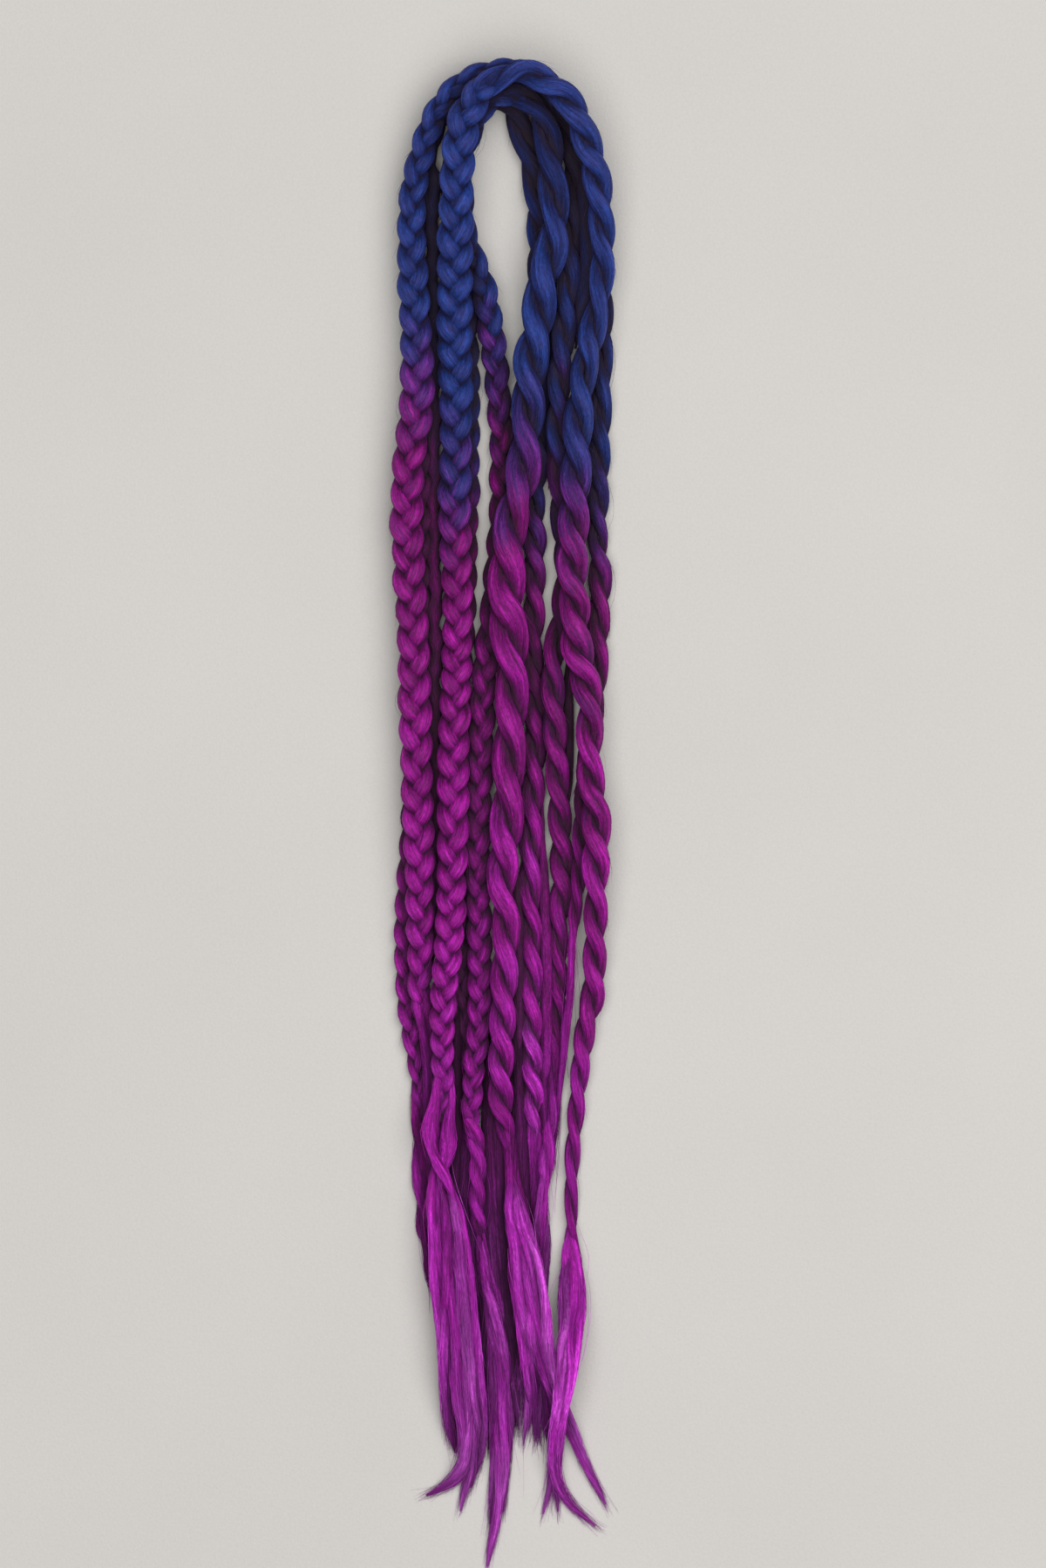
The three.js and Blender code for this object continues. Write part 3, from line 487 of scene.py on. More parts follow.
def strand(g, P, r1, r2, rng, around, ridge, tone, cavity, seed, cells, roll=0.0):
    """One strand of hair with soft ridges along it, cut into lengths that each have a place in the map."""
    R = len(P)
    dist = np.concatenate([[0], np.cumsum(np.linalg.norm(np.diff(P, axis=0), axis=1))])
    step = dist[-1] / (R - 1)
    T, e1, e2 = along_frames(P)
    al = np.arange(around) / around * 2 * np.pi - np.pi / 2
    bump = np.zeros((R, around))
    for n, amp in ((3, 0.5), (5, 0.7), (8, 0.6), (11, 0.6), (14, 0.5)):
        if n > around / 2.2:
            continue
        drift = wander(rng, R, step, 18.0) * 1.1 + rng.uniform(0, 6.28)
        swell = 1 + 0.5 * wander(rng, R, step, 14.0)
        bump += amp * swell[:, None] * np.cos(n * (al[None] + roll * dist[:, None]) + drift[:, None])
    k = 1 + ridge * bump
    pts = (P[:, None] + e1[:, None] * (r1[:, None] * k * np.cos(al))[..., None]
           + e2[:, None] * (r2[:, None] * k * np.sin(al))[..., None])
    fib = np.stack([np.broadcast_to((al[None] + roll * dist[:, None]) * np.mean(r1), (R, around)),
                    np.broadcast_to(dist[:, None], (R, around)), np.full((R, around), seed)], -1)
    cut = np.linspace(0, R - 1, len(cells) + 1).round().astype(int)
    tone = np.broadcast_to(tone, (R, around))
    # painted shade: the lock's painted shade, made lighter on the ridges' crests and darker in the grooves between them
    shade = cavity(pts) * np.clip(1 + 2.2 * ridge * bump, 0.5, 1.3)
    for c in range(len(cells)):
        i, j = cut[c], cut[c + 1] + 1
        g.grid(pts[None, i:j], tone[None, i:j], shade[None, i:j], fib[None, i:j], cells[c:c + 1])
    return e1, e2


def hairs(g, P, radius, tone, cav, seed, cells, sides=3):
    """Single hairs as thin tubes. P: hairs x rings x 3, radius: hairs x rings."""
    S, R, _ = P.shape
    T = unit(np.gradient(P, axis=1))
    ref = np.where(np.abs(T[..., 2:3]) > 0.9, np.array([1.0, 0, 0]), UP)
    e1 = unit(np.cross(ref, T))
    e2 = np.cross(T, e1)
    al = np.arange(sides) / sides * 2 * np.pi + np.pi / 2
    pts = (P[:, :, None] + e1[:, :, None] * (radius[:, :, None] * np.cos(al))[..., None]
           + e2[:, :, None] * (radius[:, :, None] * np.sin(al))[..., None])
    fib = np.zeros((S, R, sides, 3))
    fib[..., 0] = seed[:, None, None]
    fib[..., 1] = np.arange(R)[None, :, None] * 2.0
    fib[..., 2] = seed[:, None, None] * 1.7
    # single hairs keep at least this much painted light, however deep the relief shade around them
    g.grid(pts, tone[:, :, None], cav[:, :, None], fib, cells, least_light=0.46)


def tone_at(name, y):
    """0 is blue, 1 magenta; from there it grows slowly lighter towards the tips, to about 2."""
    hi, lo = WORK[name]["ombre"]
    return np.clip((hi - y) / (hi - lo), -0.4, 1.0) + np.clip((100 - y) / 340, 0, 1.2)


# ---------------------------------------------------------------------------------------------------------------
# Plaited and twisted legs.
# ---------------------------------------------------------------------------------------------------------------
LEG_STEP = 1.8
RUN_IN = 15.0           # how far the strands run on past the fold, into the other leg
RUN_OUT = 16.0          # how far they run on into the loose tail


def leg_strands(name, path):
    """Paths and radii of the strands of a leg, from the fold to a little beyond where it is tied off."""
    braid = name.startswith("braid")
    work = WORK[name]
    at = path.at
    length = (at["fold"] - at["braid_end"]) if braid else (at["twist_end"] - at["fold"])
    n = int((length + RUN_IN + RUN_OUT - work["begin"]) / LEG_STEP) + 1
    t = np.linspace(work["begin"] - RUN_IN, length + RUN_OUT, n)
    step = t[1] - t[0]
    s = at["fold"] - t if braid else at["fold"] + t
    c, side, a, b = path.frame(s)
    a = a * work.get("wide", 1.0)
    if braid:
        side = -side
    rng = np.random.default_rng(sum(map(ord, name)) * 7)
    pitch = work["pitch"][0] + (work["pitch"][1] - work["pitch"][0]) * np.clip(t / length, 0, 1)
    pitch = pitch * (1 + 0.06 * wander(rng, n, step, 30.0))
    loose = np.clip((t - length) / RUN_OUT, 0, 1)
    enter = ease((t - t[0]) / (RUN_IN * 1.25))
    count = 3 if braid else 2
    if "bulges" in work:
        # heights along Y of the bulges: the left ones of a plait, one a V, or those of a twist, two a turn
        down = np.arange(len(t)) >= np.argmax(c[:, 1])
        where = np.interp(-np.array(work["bulges"]), -c[down, 1], t[down])
        count_at = np.arange(len(where)) + (0.25 if braid else 0.0)
        first, last = where[1] - where[0], where[-1] - where[-2]
        where = np.concatenate([where[0] - first * np.arange(8, 0, -1), where, where[-1] + last * np.arange(1, 9)])
        count_at = np.concatenate([count_at[0] - np.arange(8, 0, -1), count_at, count_at[-1] + np.arange(1, 9)])
        laps = smooth(np.interp(t, where, count_at), 12)
        turn = laps * (2 * np.pi / 3 if braid else np.pi)
    else:
        turn = 2 * np.pi * np.concatenate([[0], np.cumsum(1 / ((3 if braid else 1) * pitch[:-1])) * step])
        turn += work["phase"] * 2 * np.pi
    strands = []
    for k in range(count):
        ph = turn + 2 * np.pi * k / count
        wob = 1 + (0.07 if braid else 0.09) * wander(rng, n, step, 15.0)
        if braid:
            fat = (1 + 0.17 * np.cos(2 * (ph - math.radians(135)))) * wob
            r1, r2 = 0.455 * a * fat, 0.54 * b * fat
            u, v = 0.53 * a * np.sin(ph), -0.46 * b * np.sin(2 * ph - 0.35)
        else:
            # broad strands that lie over one another like long leaves
            fat = (1 - 0.09 * np.cos(2 * ph)) * wob
            r1, r2 = 0.565 * a * fat, 0.51 * b * fat
            u, v = 0.465 * a * np.cos(-ph), 0.47 * b * np.sin(-ph)
        pull = (1 - 0.6 * loose) * (0.45 + 0.55 * enter)
        shrink = (1 - 0.55 * loose ** 1.5) * (0.30 + 0.70 * enter)
        P = c + side * (u * pull)[:, None] + UP * (v * pull)[:, None]
        P[:, 2] = np.maximum(P[:, 2], r2 * shrink * 0.9)
        strands.append(dict(P=P, r1=r1 * shrink, r2=r2 * shrink, t=t))
    return strands, dict(c=c, side=side, a=a, b=b, t=t, length=length)


def resample(rows, step):
    """An even line of points through rows of any number of columns, the first three of them x, y and z."""
    dense = catmull(rows, 24)
    along = np.concatenate([[0], np.cumsum(np.linalg.norm(np.diff(dense[:, :3], axis=0), axis=1))])
    at = np.linspace(0, along[-1], max(6, int(along[-1] / step) + 1))
    return np.stack([np.interp(at, along, dense[:, k]) for k in range(dense.shape[1])], 1)


def loose_strand(g, name, rows, dark, rng, cells, around=16, ridge=0.05, shift=0.0):
    """A strand given by its own points: rows of x, y, z and the two half sizes, all in mm."""
    line = resample(rows, 2.2)
    P = line[:, :3].copy()
    ends = np.clip(np.minimum(np.arange(len(P)), np.arange(len(P))[::-1]) / 6, 0.2, 1)
    r1, r2 = line[:, 3] * ends, line[:, 4] * ends
    P[:, 2] = np.maximum(P[:, 2], r2 * 0.95)
    tone = tone_at(name, P[:, 1]) + shift + 0.08 * wander(rng, len(P), 2.2, 20.0)
    # an even painted shade on the strand's colour, from its light factor
    e1, e2 = strand(g, P, r1, r2, rng, around, ridge, tone[:, None], lambda pts: np.full(pts.shape[:2], dark),
                    rng.uniform(0, 90), cells, roll=0.01)
    return dict(P=P, r1=r1, r2=r2, e1=e1, e2=e2, tone=tone, dark=dark)


def cavity_of(info, inner, outer):
    """Light that reaches between the strands: falls off with depth inside the lock's outline."""
    c, side, a, b = info["c"], info["side"], info["a"], info["b"]

    def depth(pts, rows=slice(None)):
        d = pts - c[rows][:, None]
        u = (d * side[rows][:, None]).sum(-1) / a[rows][:, None]
        v = d[..., 2] / b[rows][:, None]
        return 0.30 + 0.70 * ease((np.hypot(u, v) - inner) / (outer - inner))
    return depth


def make_leg(name, path):
    rng = np.random.default_rng(sum(map(ord, name)) * 13 + 1)
    braid = name.startswith("braid")
    g = Gather()
    strands, info = leg_strands(name, path)
    open_to = cavity_of(info, *((0.25, 0.98) if braid else (0.20, 0.95)))
    from_y, over_y, much = WORK[name].get("under", (0.0, 1.0, 0.0))

    def under(pts):
        """Shade below the lock that rides over the fold."""
        return 1 - much * ease((pts[..., 1] - from_y) / over_y)

    # painted shade of the strands: darker deeper inside the lock's outline and below the lock that rides over the fold
    def depth(pts):
        return open_to(pts) * under(pts)

    lengths = 7
    extra = LOOSE.get(name, [])
    columns = len(strands) * lengths + 2 * len(extra)
    places = place_cells(columns, 0.30, 1.0, columns)
    skins = []
    for k, st in enumerate(strands):
        n = len(st["t"])
        step = st["t"][1] - st["t"][0]
        shift = rng.normal() * (0.05 if braid else 0.14) + (0.08 if braid else 0.16) * wander(rng, n, step, 22.0)
        tone = tone_at(name, st["P"][:, 1]) + shift
        e1, e2 = strand(g, st["P"], st["r1"], st["r2"], rng, 22 if braid else 28, 0.044 if braid else 0.056, tone[:, None], depth, rng.uniform(0, 90),
                        places[k * lengths:(k + 1) * lengths], roll=0.02)
        skins.append((st, e1, e2, tone))
    for k, (dark, rows) in enumerate(extra):
        at = len(strands) * lengths + 2 * k
        loose_strand(g, name, rows, dark, rng, places[at:at + 2])
    # hairs that lie on the strands, short ones that stand off them as a soft fuzz, and a few long strays
    seen = WORK[name].get("seen", 1.0)
    kinds = dict(lying=(int((100 if braid else 140) * seen), 8), fuzz=(int((230 if braid else 350) * seen), 4),
                 stray=(int((5 if braid else 7) * seen) + 1, 12))
    made = []
    for st, e1, e2, tone in skins:
        n = len(st["t"])
        step = st["t"][1] - st["t"][0]
        for kind, (many, R) in kinds.items():
            low, high = dict(lying=(9, 24), fuzz=(3, 10), stray=(18, 45))[kind]
            span = rng.uniform(low, high, many)
            start = rng.uniform(0.02, 1, many) * (st["t"][-1] - st["t"][0] - span)
            w = np.linspace(0, 1, R)[None]
            fi = (start[:, None] + span[:, None] * w) / step
            pick = lambda arr: np.stack([np.interp(fi, np.arange(n), arr[:, c]) for c in range(3)], -1)
            P, E1, E2 = pick(st["P"]), pick(e1), pick(e2)
            r1, r2 = np.interp(fi, np.arange(n), st["r1"]), np.interp(fi, np.arange(n), st["r2"])
            ang = rng.uniform(-0.5, math.pi + 0.5, many)[:, None] + rng.normal(0, 0.35, many)[:, None] * (w - 0.5)
            ang = ang + 0.05 * np.sin(span[:, None] * w * 1.6 + rng.uniform(0, 6, many)[:, None])
            lift = 1.0 + rng.uniform(0.0, 0.03, many)[:, None] * np.ones_like(w)
            if kind == "fuzz":
                lift = lift + rng.uniform(0.05, 0.42, many)[:, None] * w ** 1.5
            Q = P + E1 * (r1 * lift * np.cos(ang))[..., None] + E2 * (r2 * lift * np.sin(ang))[..., None]
            if kind == "fuzz":
                Q = Q + rng.normal(0, 0.7, (many, 1, 3)) * (w ** 2)[..., None] * np.array([1, 1, 0.4])
                rad = 0.075 * (1 - 0.75 * w) * np.ones((many, 1))
            elif kind == "stray":
                away = unit(rng.normal(size=(many, 1, 3)) * np.array([1, 0.6, 0.25]))
                bow = rng.uniform(1.0, 4.0, many)[:, None] * np.sin(np.pi * w) + rng.uniform(-1, 3.0, many)[:, None] * w ** 2
                Q = Q + away * bow[..., None]
                rad = 0.06 * (1 - 0.6 * w) * np.ones((many, 1))
            else:
                rad = (0.13 * np.sin(np.pi * np.linspace(0.07, 0.93, R))[None] + 0.02) * np.ones((many, 1))
            Q[..., 2] = np.maximum(Q[..., 2], 0.15)
            idx = np.clip(fi.round().astype(int), 0, n - 1)
            d = Q - info["c"][idx]
            rho = np.hypot((d * info["side"][idx]).sum(-1) / info["a"][idx], d[..., 2] / info["b"][idx])
            # painted shade of each hair: darker deep inside the lock and below the lock over the fold
            cav = (0.30 + 0.70 * ease((rho - 0.25) / 0.6)) * under(Q)
            tn = np.interp(fi, np.arange(n), tone) + rng.normal(0, 0.14, many)[:, None]
            made.append((Q, rad, tn, cav))
    row = 0.0
    total = sum(len(m[0]) for m in made)
    for R in sorted({m[0].shape[1] for m in made}):
        group = [m for m in made if m[0].shape[1] == R]
        Q, rad, tn, cav = (np.vstack([m[i] for m in group]) for i in range(4))
        high = row + 0.28 * len(Q) / total
        hairs(g, Q, rad, tn, cav, rng.uniform(0, 400, len(Q)), place_cells(len(Q), row, high, 130 if len(Q) > 60 else 8))
        row = high
    return g


# ---------------------------------------------------------------------------------------------------------------
# Loose tails: clumps of hair that lie side by side and part towards the tip, with single hairs over them.
# ---------------------------------------------------------------------------------------------------------------
TAIL_RING = 2.4
PARTS = 3
LEAD = 9.0

# Each clump: place across (-1..1), share of the width, height (-1..1 of the half thickness), where it ends (mm, by
# which it bends away over the last part), or how far along it ends.
# A tail's and a clump's light factor scale the painted shade of their hair; a tail's lift scales it once more.
TAILS = {
    "braid_tail_1": dict(body=3.0, wide=1.1, fray=0.9, dark=0.9, start=34.0, loops=[[(-22.68, -103.46, 0.2, 3.96), (-21.24, -111.74, 0.2, 3.96), (-21.96, -121.46, 0.2, 3.96), (-23.04, -130.46, 0.2, 6.12), (-23.04, -135.86, 0.2, 7.2), (-23.76, -141.26, 0.2, 5.76), (-25.2, -147.74, 0.2, 5.04), (-25.92, -156.74, 0.2, 4.68)], [(-24.48, -99.86, 1.2, 3.96), (-26.64, -108.14, 1.2, 4.32), (-27.36, -115.34, 1.2, 4.32), (-28.8, -123.62, 1.2, 5.4), (-29.88, -130.1, 1.2, 6.84), (-29.52, -135.86, 1.2, 5.04), (-28.08, -140.9, 1.2, 4.32), (-25.56, -146.3, 1.2, 5.04), (-22.68, -152.42, 1.2, 5.4), (-19.8, -159.62, 1.2, 4.32)]], laid=[[(-27.36, -138.02, 0.2, 4.32), (-28.44, -149.54, 0.2, 5.04), (-28.44, -167.54, 0.2, 5.76), (-25.92, -192.74, 0.2, 6.12), (-23.76, -217.94, 0.2, 5.76), (-22.68, -239.54, 0.2, 5.04), (-21.24, -253.94, 0.2, 3.96), (-19.44, -264.02, 0.2, 1.08)], [(-26.28, -142.34, 0.9, 4.32), (-25.92, -156.74, 0.9, 5.76), (-24.48, -178.34, 0.9, 6.48), (-21.6, -203.54, 0.9, 6.48), (-18.72, -228.74, 0.9, 6.48), (-15.84, -250.34, 0.9, 6.12), (-15.12, -265.46, 0.9, 5.4), (-18.0, -272.66, 0.9, 4.68), (-23.4, -277.7, 0.9, 2.88), (-31.68, -281.66, 0.9, 0.72)], [(-24.84, -144.14, 0.6, 4.32), (-21.6, -160.34, 0.6, 5.4), (-18.36, -185.54, 0.6, 6.12), (-15.84, -210.74, 0.6, 6.12), (-13.68, -235.94, 0.6, 5.76), (-12.24, -257.54, 0.6, 4.68), (-13.68, -271.94, 0.6, 3.6), (-16.2, -281.3, 0.6, 1.8), (-17.64, -288.14, 0.6, 0.72)], [(-23.4, -145.94, -0.2, 3.6), (-19.08, -163.94, -0.2, 4.68), (-15.12, -189.14, -0.2, 5.04), (-12.6, -214.34, -0.2, 5.04), (-10.44, -235.94, -0.2, 4.68), (-9.36, -253.94, -0.2, 4.32), (-9.72, -264.02, -0.2, 3.24), (-11.52, -271.22, -0.2, 1.8), (-13.32, -278.42, -0.2, 0.72)], [(-24.12, -167.54, -1.0, 5.04), (-21.24, -196.34, -1.0, 6.48), (-18.0, -225.14, -1.0, 6.48), (-14.76, -246.74, -1.0, 5.76), (-12.24, -259.34, -1.0, 3.6), (-11.52, -266.54, -1.0, 1.08)]], clumps=[
    ]),
    "braid_tail_2": dict(body=2.8, wide=1.3, fray=1.3, dark=0.85, clumps=[
        dict(at=-0.6, share=0.55, up=0.3, end=(-19.8, -259.34), part=0.5, hairs=55, lies=True),
        dict(at=0.5, share=0.55, up=0.2, end=(-15.12, -264.02), part=0.5, hairs=55, lies=True),
        dict(at=0.0, share=0.5, up=-0.5, end=(-17.28, -256.82), reach=0.95, part=0.5, hairs=45, lies=True),
    ]),
    "braid_tail_3": dict(body=2.0, fray=0.5, start=38.0, plies={'to': 52.0, 'pitch': 24.0, 'phase': 1.0}, laid=[[(-10.08, -162.14, 0.8, 5.04), (-8.28, -178.34, 0.8, 5.76), (-5.4, -194.54, 0.8, 6.48), (-2.52, -214.34, 0.8, 7.2), (-0.36, -235.94, 0.8, 6.84), (0.0, -259.34, 0.8, 6.12), (-1.08, -275.54, 0.8, 5.4), (-2.88, -288.86, 0.8, 4.32), (-4.68, -300.74, 0.8, 2.88), (-6.48, -311.18, 0.8, 0.72)], [(-10.44, -163.94, 0.2, 3.6), (-9.36, -178.34, 0.2, 4.68), (-7.2, -196.34, 0.2, 5.04), (-4.68, -217.94, 0.2, 5.04), (-3.24, -239.54, 0.2, 4.68), (-2.88, -261.14, 0.2, 3.96), (-3.96, -279.14, 0.2, 2.16), (-5.4, -293.54, 0.2, 0.72)], [(-9.0, -167.54, 0.0, 2.88), (-5.4, -185.54, 0.0, 3.96), (-1.08, -207.14, 0.0, 4.32), (1.8, -230.54, 0.0, 3.96), (2.52, -253.94, 0.0, 3.6), (1.8, -271.94, 0.0, 2.52), (0.36, -288.14, 0.0, 0.72)]], clumps=[
    ]),
    "braid_tail_4": dict(body=3.4, wide=1.8, fray=1.3, dark=0.7, clumps=[
        dict(at=-0.6, share=0.55, up=0.0, end=(-10.8, -259.34), part=0.5, hairs=50, lies=True),
        dict(at=0.5, share=0.55, up=0.2, end=(-6.12, -262.58), part=0.5, hairs=50, lies=True),
        dict(at=0.0, share=0.5, up=-0.5, end=(-8.64, -256.82), reach=0.95, part=0.5, hairs=40, lies=True),
    ]),
    "braid_tail_5": dict(body=2.6, wide=1.05, fray=1.3, dark=0.95, start=40.0, plies={'to': 66.0, 'pitch': 54.0, 'phase': 2.6, 'wide': 1.25}, clumps=[
        dict(at=-0.6, share=0.55, up=0.2, end=(-21.6, -258.26), part=0.6, hairs=60, lies=True),
        dict(at=0.5, share=0.55, up=0.2, end=(-18.72, -261.86), part=0.6, hairs=60, lies=True),
        dict(at=0.0, share=0.5, up=-0.5, end=(-20.16, -255.74), reach=0.95, part=0.6, hairs=45, lies=True),
    ]),
    "twist_tail_1": dict(body=1.7, fray=0.5, laid=[[(28.44, -167.54, 0.8, 2.88), (29.16, -181.94, 0.8, 5.04), (29.88, -198.14, 0.8, 6.48), (28.44, -217.94, 0.8, 5.76), (25.56, -237.74, 0.8, 4.68), (22.32, -255.74, 0.8, 3.96), (21.24, -269.06, 0.8, 3.6), (23.04, -278.06, 0.8, 3.24), (28.08, -285.62, 0.8, 2.16), (38.16, -294.26, 0.8, 0.72)], [(28.08, -167.54, 0.4, 2.88), (27.0, -181.94, 0.4, 4.68), (25.92, -198.14, 0.4, 5.76), (25.2, -217.94, 0.4, 5.04), (23.04, -239.54, 0.4, 3.6), (20.52, -262.94, 0.4, 3.24), (19.44, -276.98, 0.4, 2.16), (16.56, -289.22, 0.4, 0.72)], [(28.44, -171.14, 0.4, 2.52), (31.68, -192.74, 0.4, 4.32), (31.32, -210.74, 0.4, 4.32), (28.44, -232.34, 0.4, 3.24), (24.48, -253.94, 0.4, 2.88), (21.96, -275.54, 0.4, 2.16), (22.68, -288.14, 0.4, 0.72)]], clumps=[
        dict(at=0.0, share=0.75, up=-0.3, reach=0.55, taper=0.6, hairs=40),
    ]),
    "twist_tail_2": dict(body=1.0, fray=0.5, dark=0.9, clumps=[
        dict(at=-0.3, share=0.7, up=0.0, end=(19.8, -149.54), reach=0.72, taper=0.6, hairs=14, part=0.2),
        dict(at=0.4, share=0.6, up=0.2, end=(20.52, -142.34), reach=0.68, taper=0.5, hairs=14, part=0.2),
    ]),
    "twist_tail_3": dict(body=2.0, fray=0.6, laid=[[(1.8, -140.54, 0.6, 4.32), (3.24, -160.34, 0.6, 5.76), (5.4, -178.34, 0.6, 6.48), (9.0, -199.94, 0.6, 6.48), (13.32, -221.54, 0.6, 6.12), (19.08, -239.54, 0.6, 4.68), (23.04, -257.54, 0.6, 1.08)], [(3.96, -144.14, 0.9, 3.6), (6.12, -163.94, 0.9, 5.04), (9.36, -181.94, 0.9, 5.76), (12.96, -203.54, 0.9, 6.12), (17.28, -225.14, 0.9, 5.76), (23.4, -243.14, 0.9, 5.04), (28.8, -255.74, 0.9, 3.96), (34.2, -269.06, 0.9, 2.88), (38.88, -278.06, 0.9, 1.8), (42.48, -285.26, 0.9, 0.72)], [(3.6, -147.74, 2.2, 3.24), (7.2, -160.34, 2.2, 3.6), (10.44, -171.14, 2.2, 3.96), (14.04, -183.74, 2.2, 4.32), (16.2, -196.34, 2.2, 4.32), (18.0, -214.34, 2.2, 4.32), (20.88, -230.54, 2.2, 4.68), (25.92, -247.46, 2.2, 3.96), (30.6, -261.14, 2.2, 2.88), (35.64, -271.94, 2.2, 1.8), (39.96, -279.86, 2.2, 0.72)], [(3.24, -167.54, -1.0, 4.32), (5.4, -192.74, -1.0, 5.04), (9.0, -217.94, -1.0, 5.04), (11.88, -239.54, -1.0, 3.6), (13.32, -256.82, -1.0, 1.08)]], clumps=[
        dict(at=0.0, share=0.8, up=-0.3, reach=0.6, taper=0.6, hairs=40),
    ]),
    "twist_tail_4": dict(body=4.0, wide=1.2, fray=1.8, dark=1.0, lift=1.15, clumps=[
        dict(at=-0.8, share=0.45, up=0.0, end=(3.96, -256.82), reach=1.02, part=0.5, taper=0.74, hairs=70, lies=True),
        dict(at=0.0, share=0.5, up=0.2, end=(8.28, -261.14), reach=1.04, part=0.5, taper=0.74, hairs=70, lies=True),
        dict(at=0.7, share=0.45, up=0.2, end=(13.32, -259.7), reach=1.03, part=0.5, taper=0.74, hairs=70, lies=True),
        dict(at=0.2, share=0.45, up=-0.5, end=(10.44, -255.38), part=0.5, taper=0.74, hairs=40, lies=True),
    ]),
    "twist_tail_5": dict(body=2.4, wide=1.15, fray=1.2, dark=0.85, start=44.0, plies={'to': 66.0, 'pitch': 36.0, 'phase': 0.5, 'wide': 1.45}, clumps=[
        dict(at=-0.5, share=0.6, up=0.2, end=(15.84, -261.14), reach=0.98, part=0.6, taper=0.74, hairs=50, lies=True),
        dict(at=0.5, share=0.6, up=0.3, end=(19.8, -265.46), part=0.6, taper=0.74, hairs=50, lies=True),
        dict(at=0.0, share=0.5, up=-0.4, end=(18.0, -257.54), reach=0.95, part=0.6, taper=0.74, hairs=40, lies=True),
    ]),
}
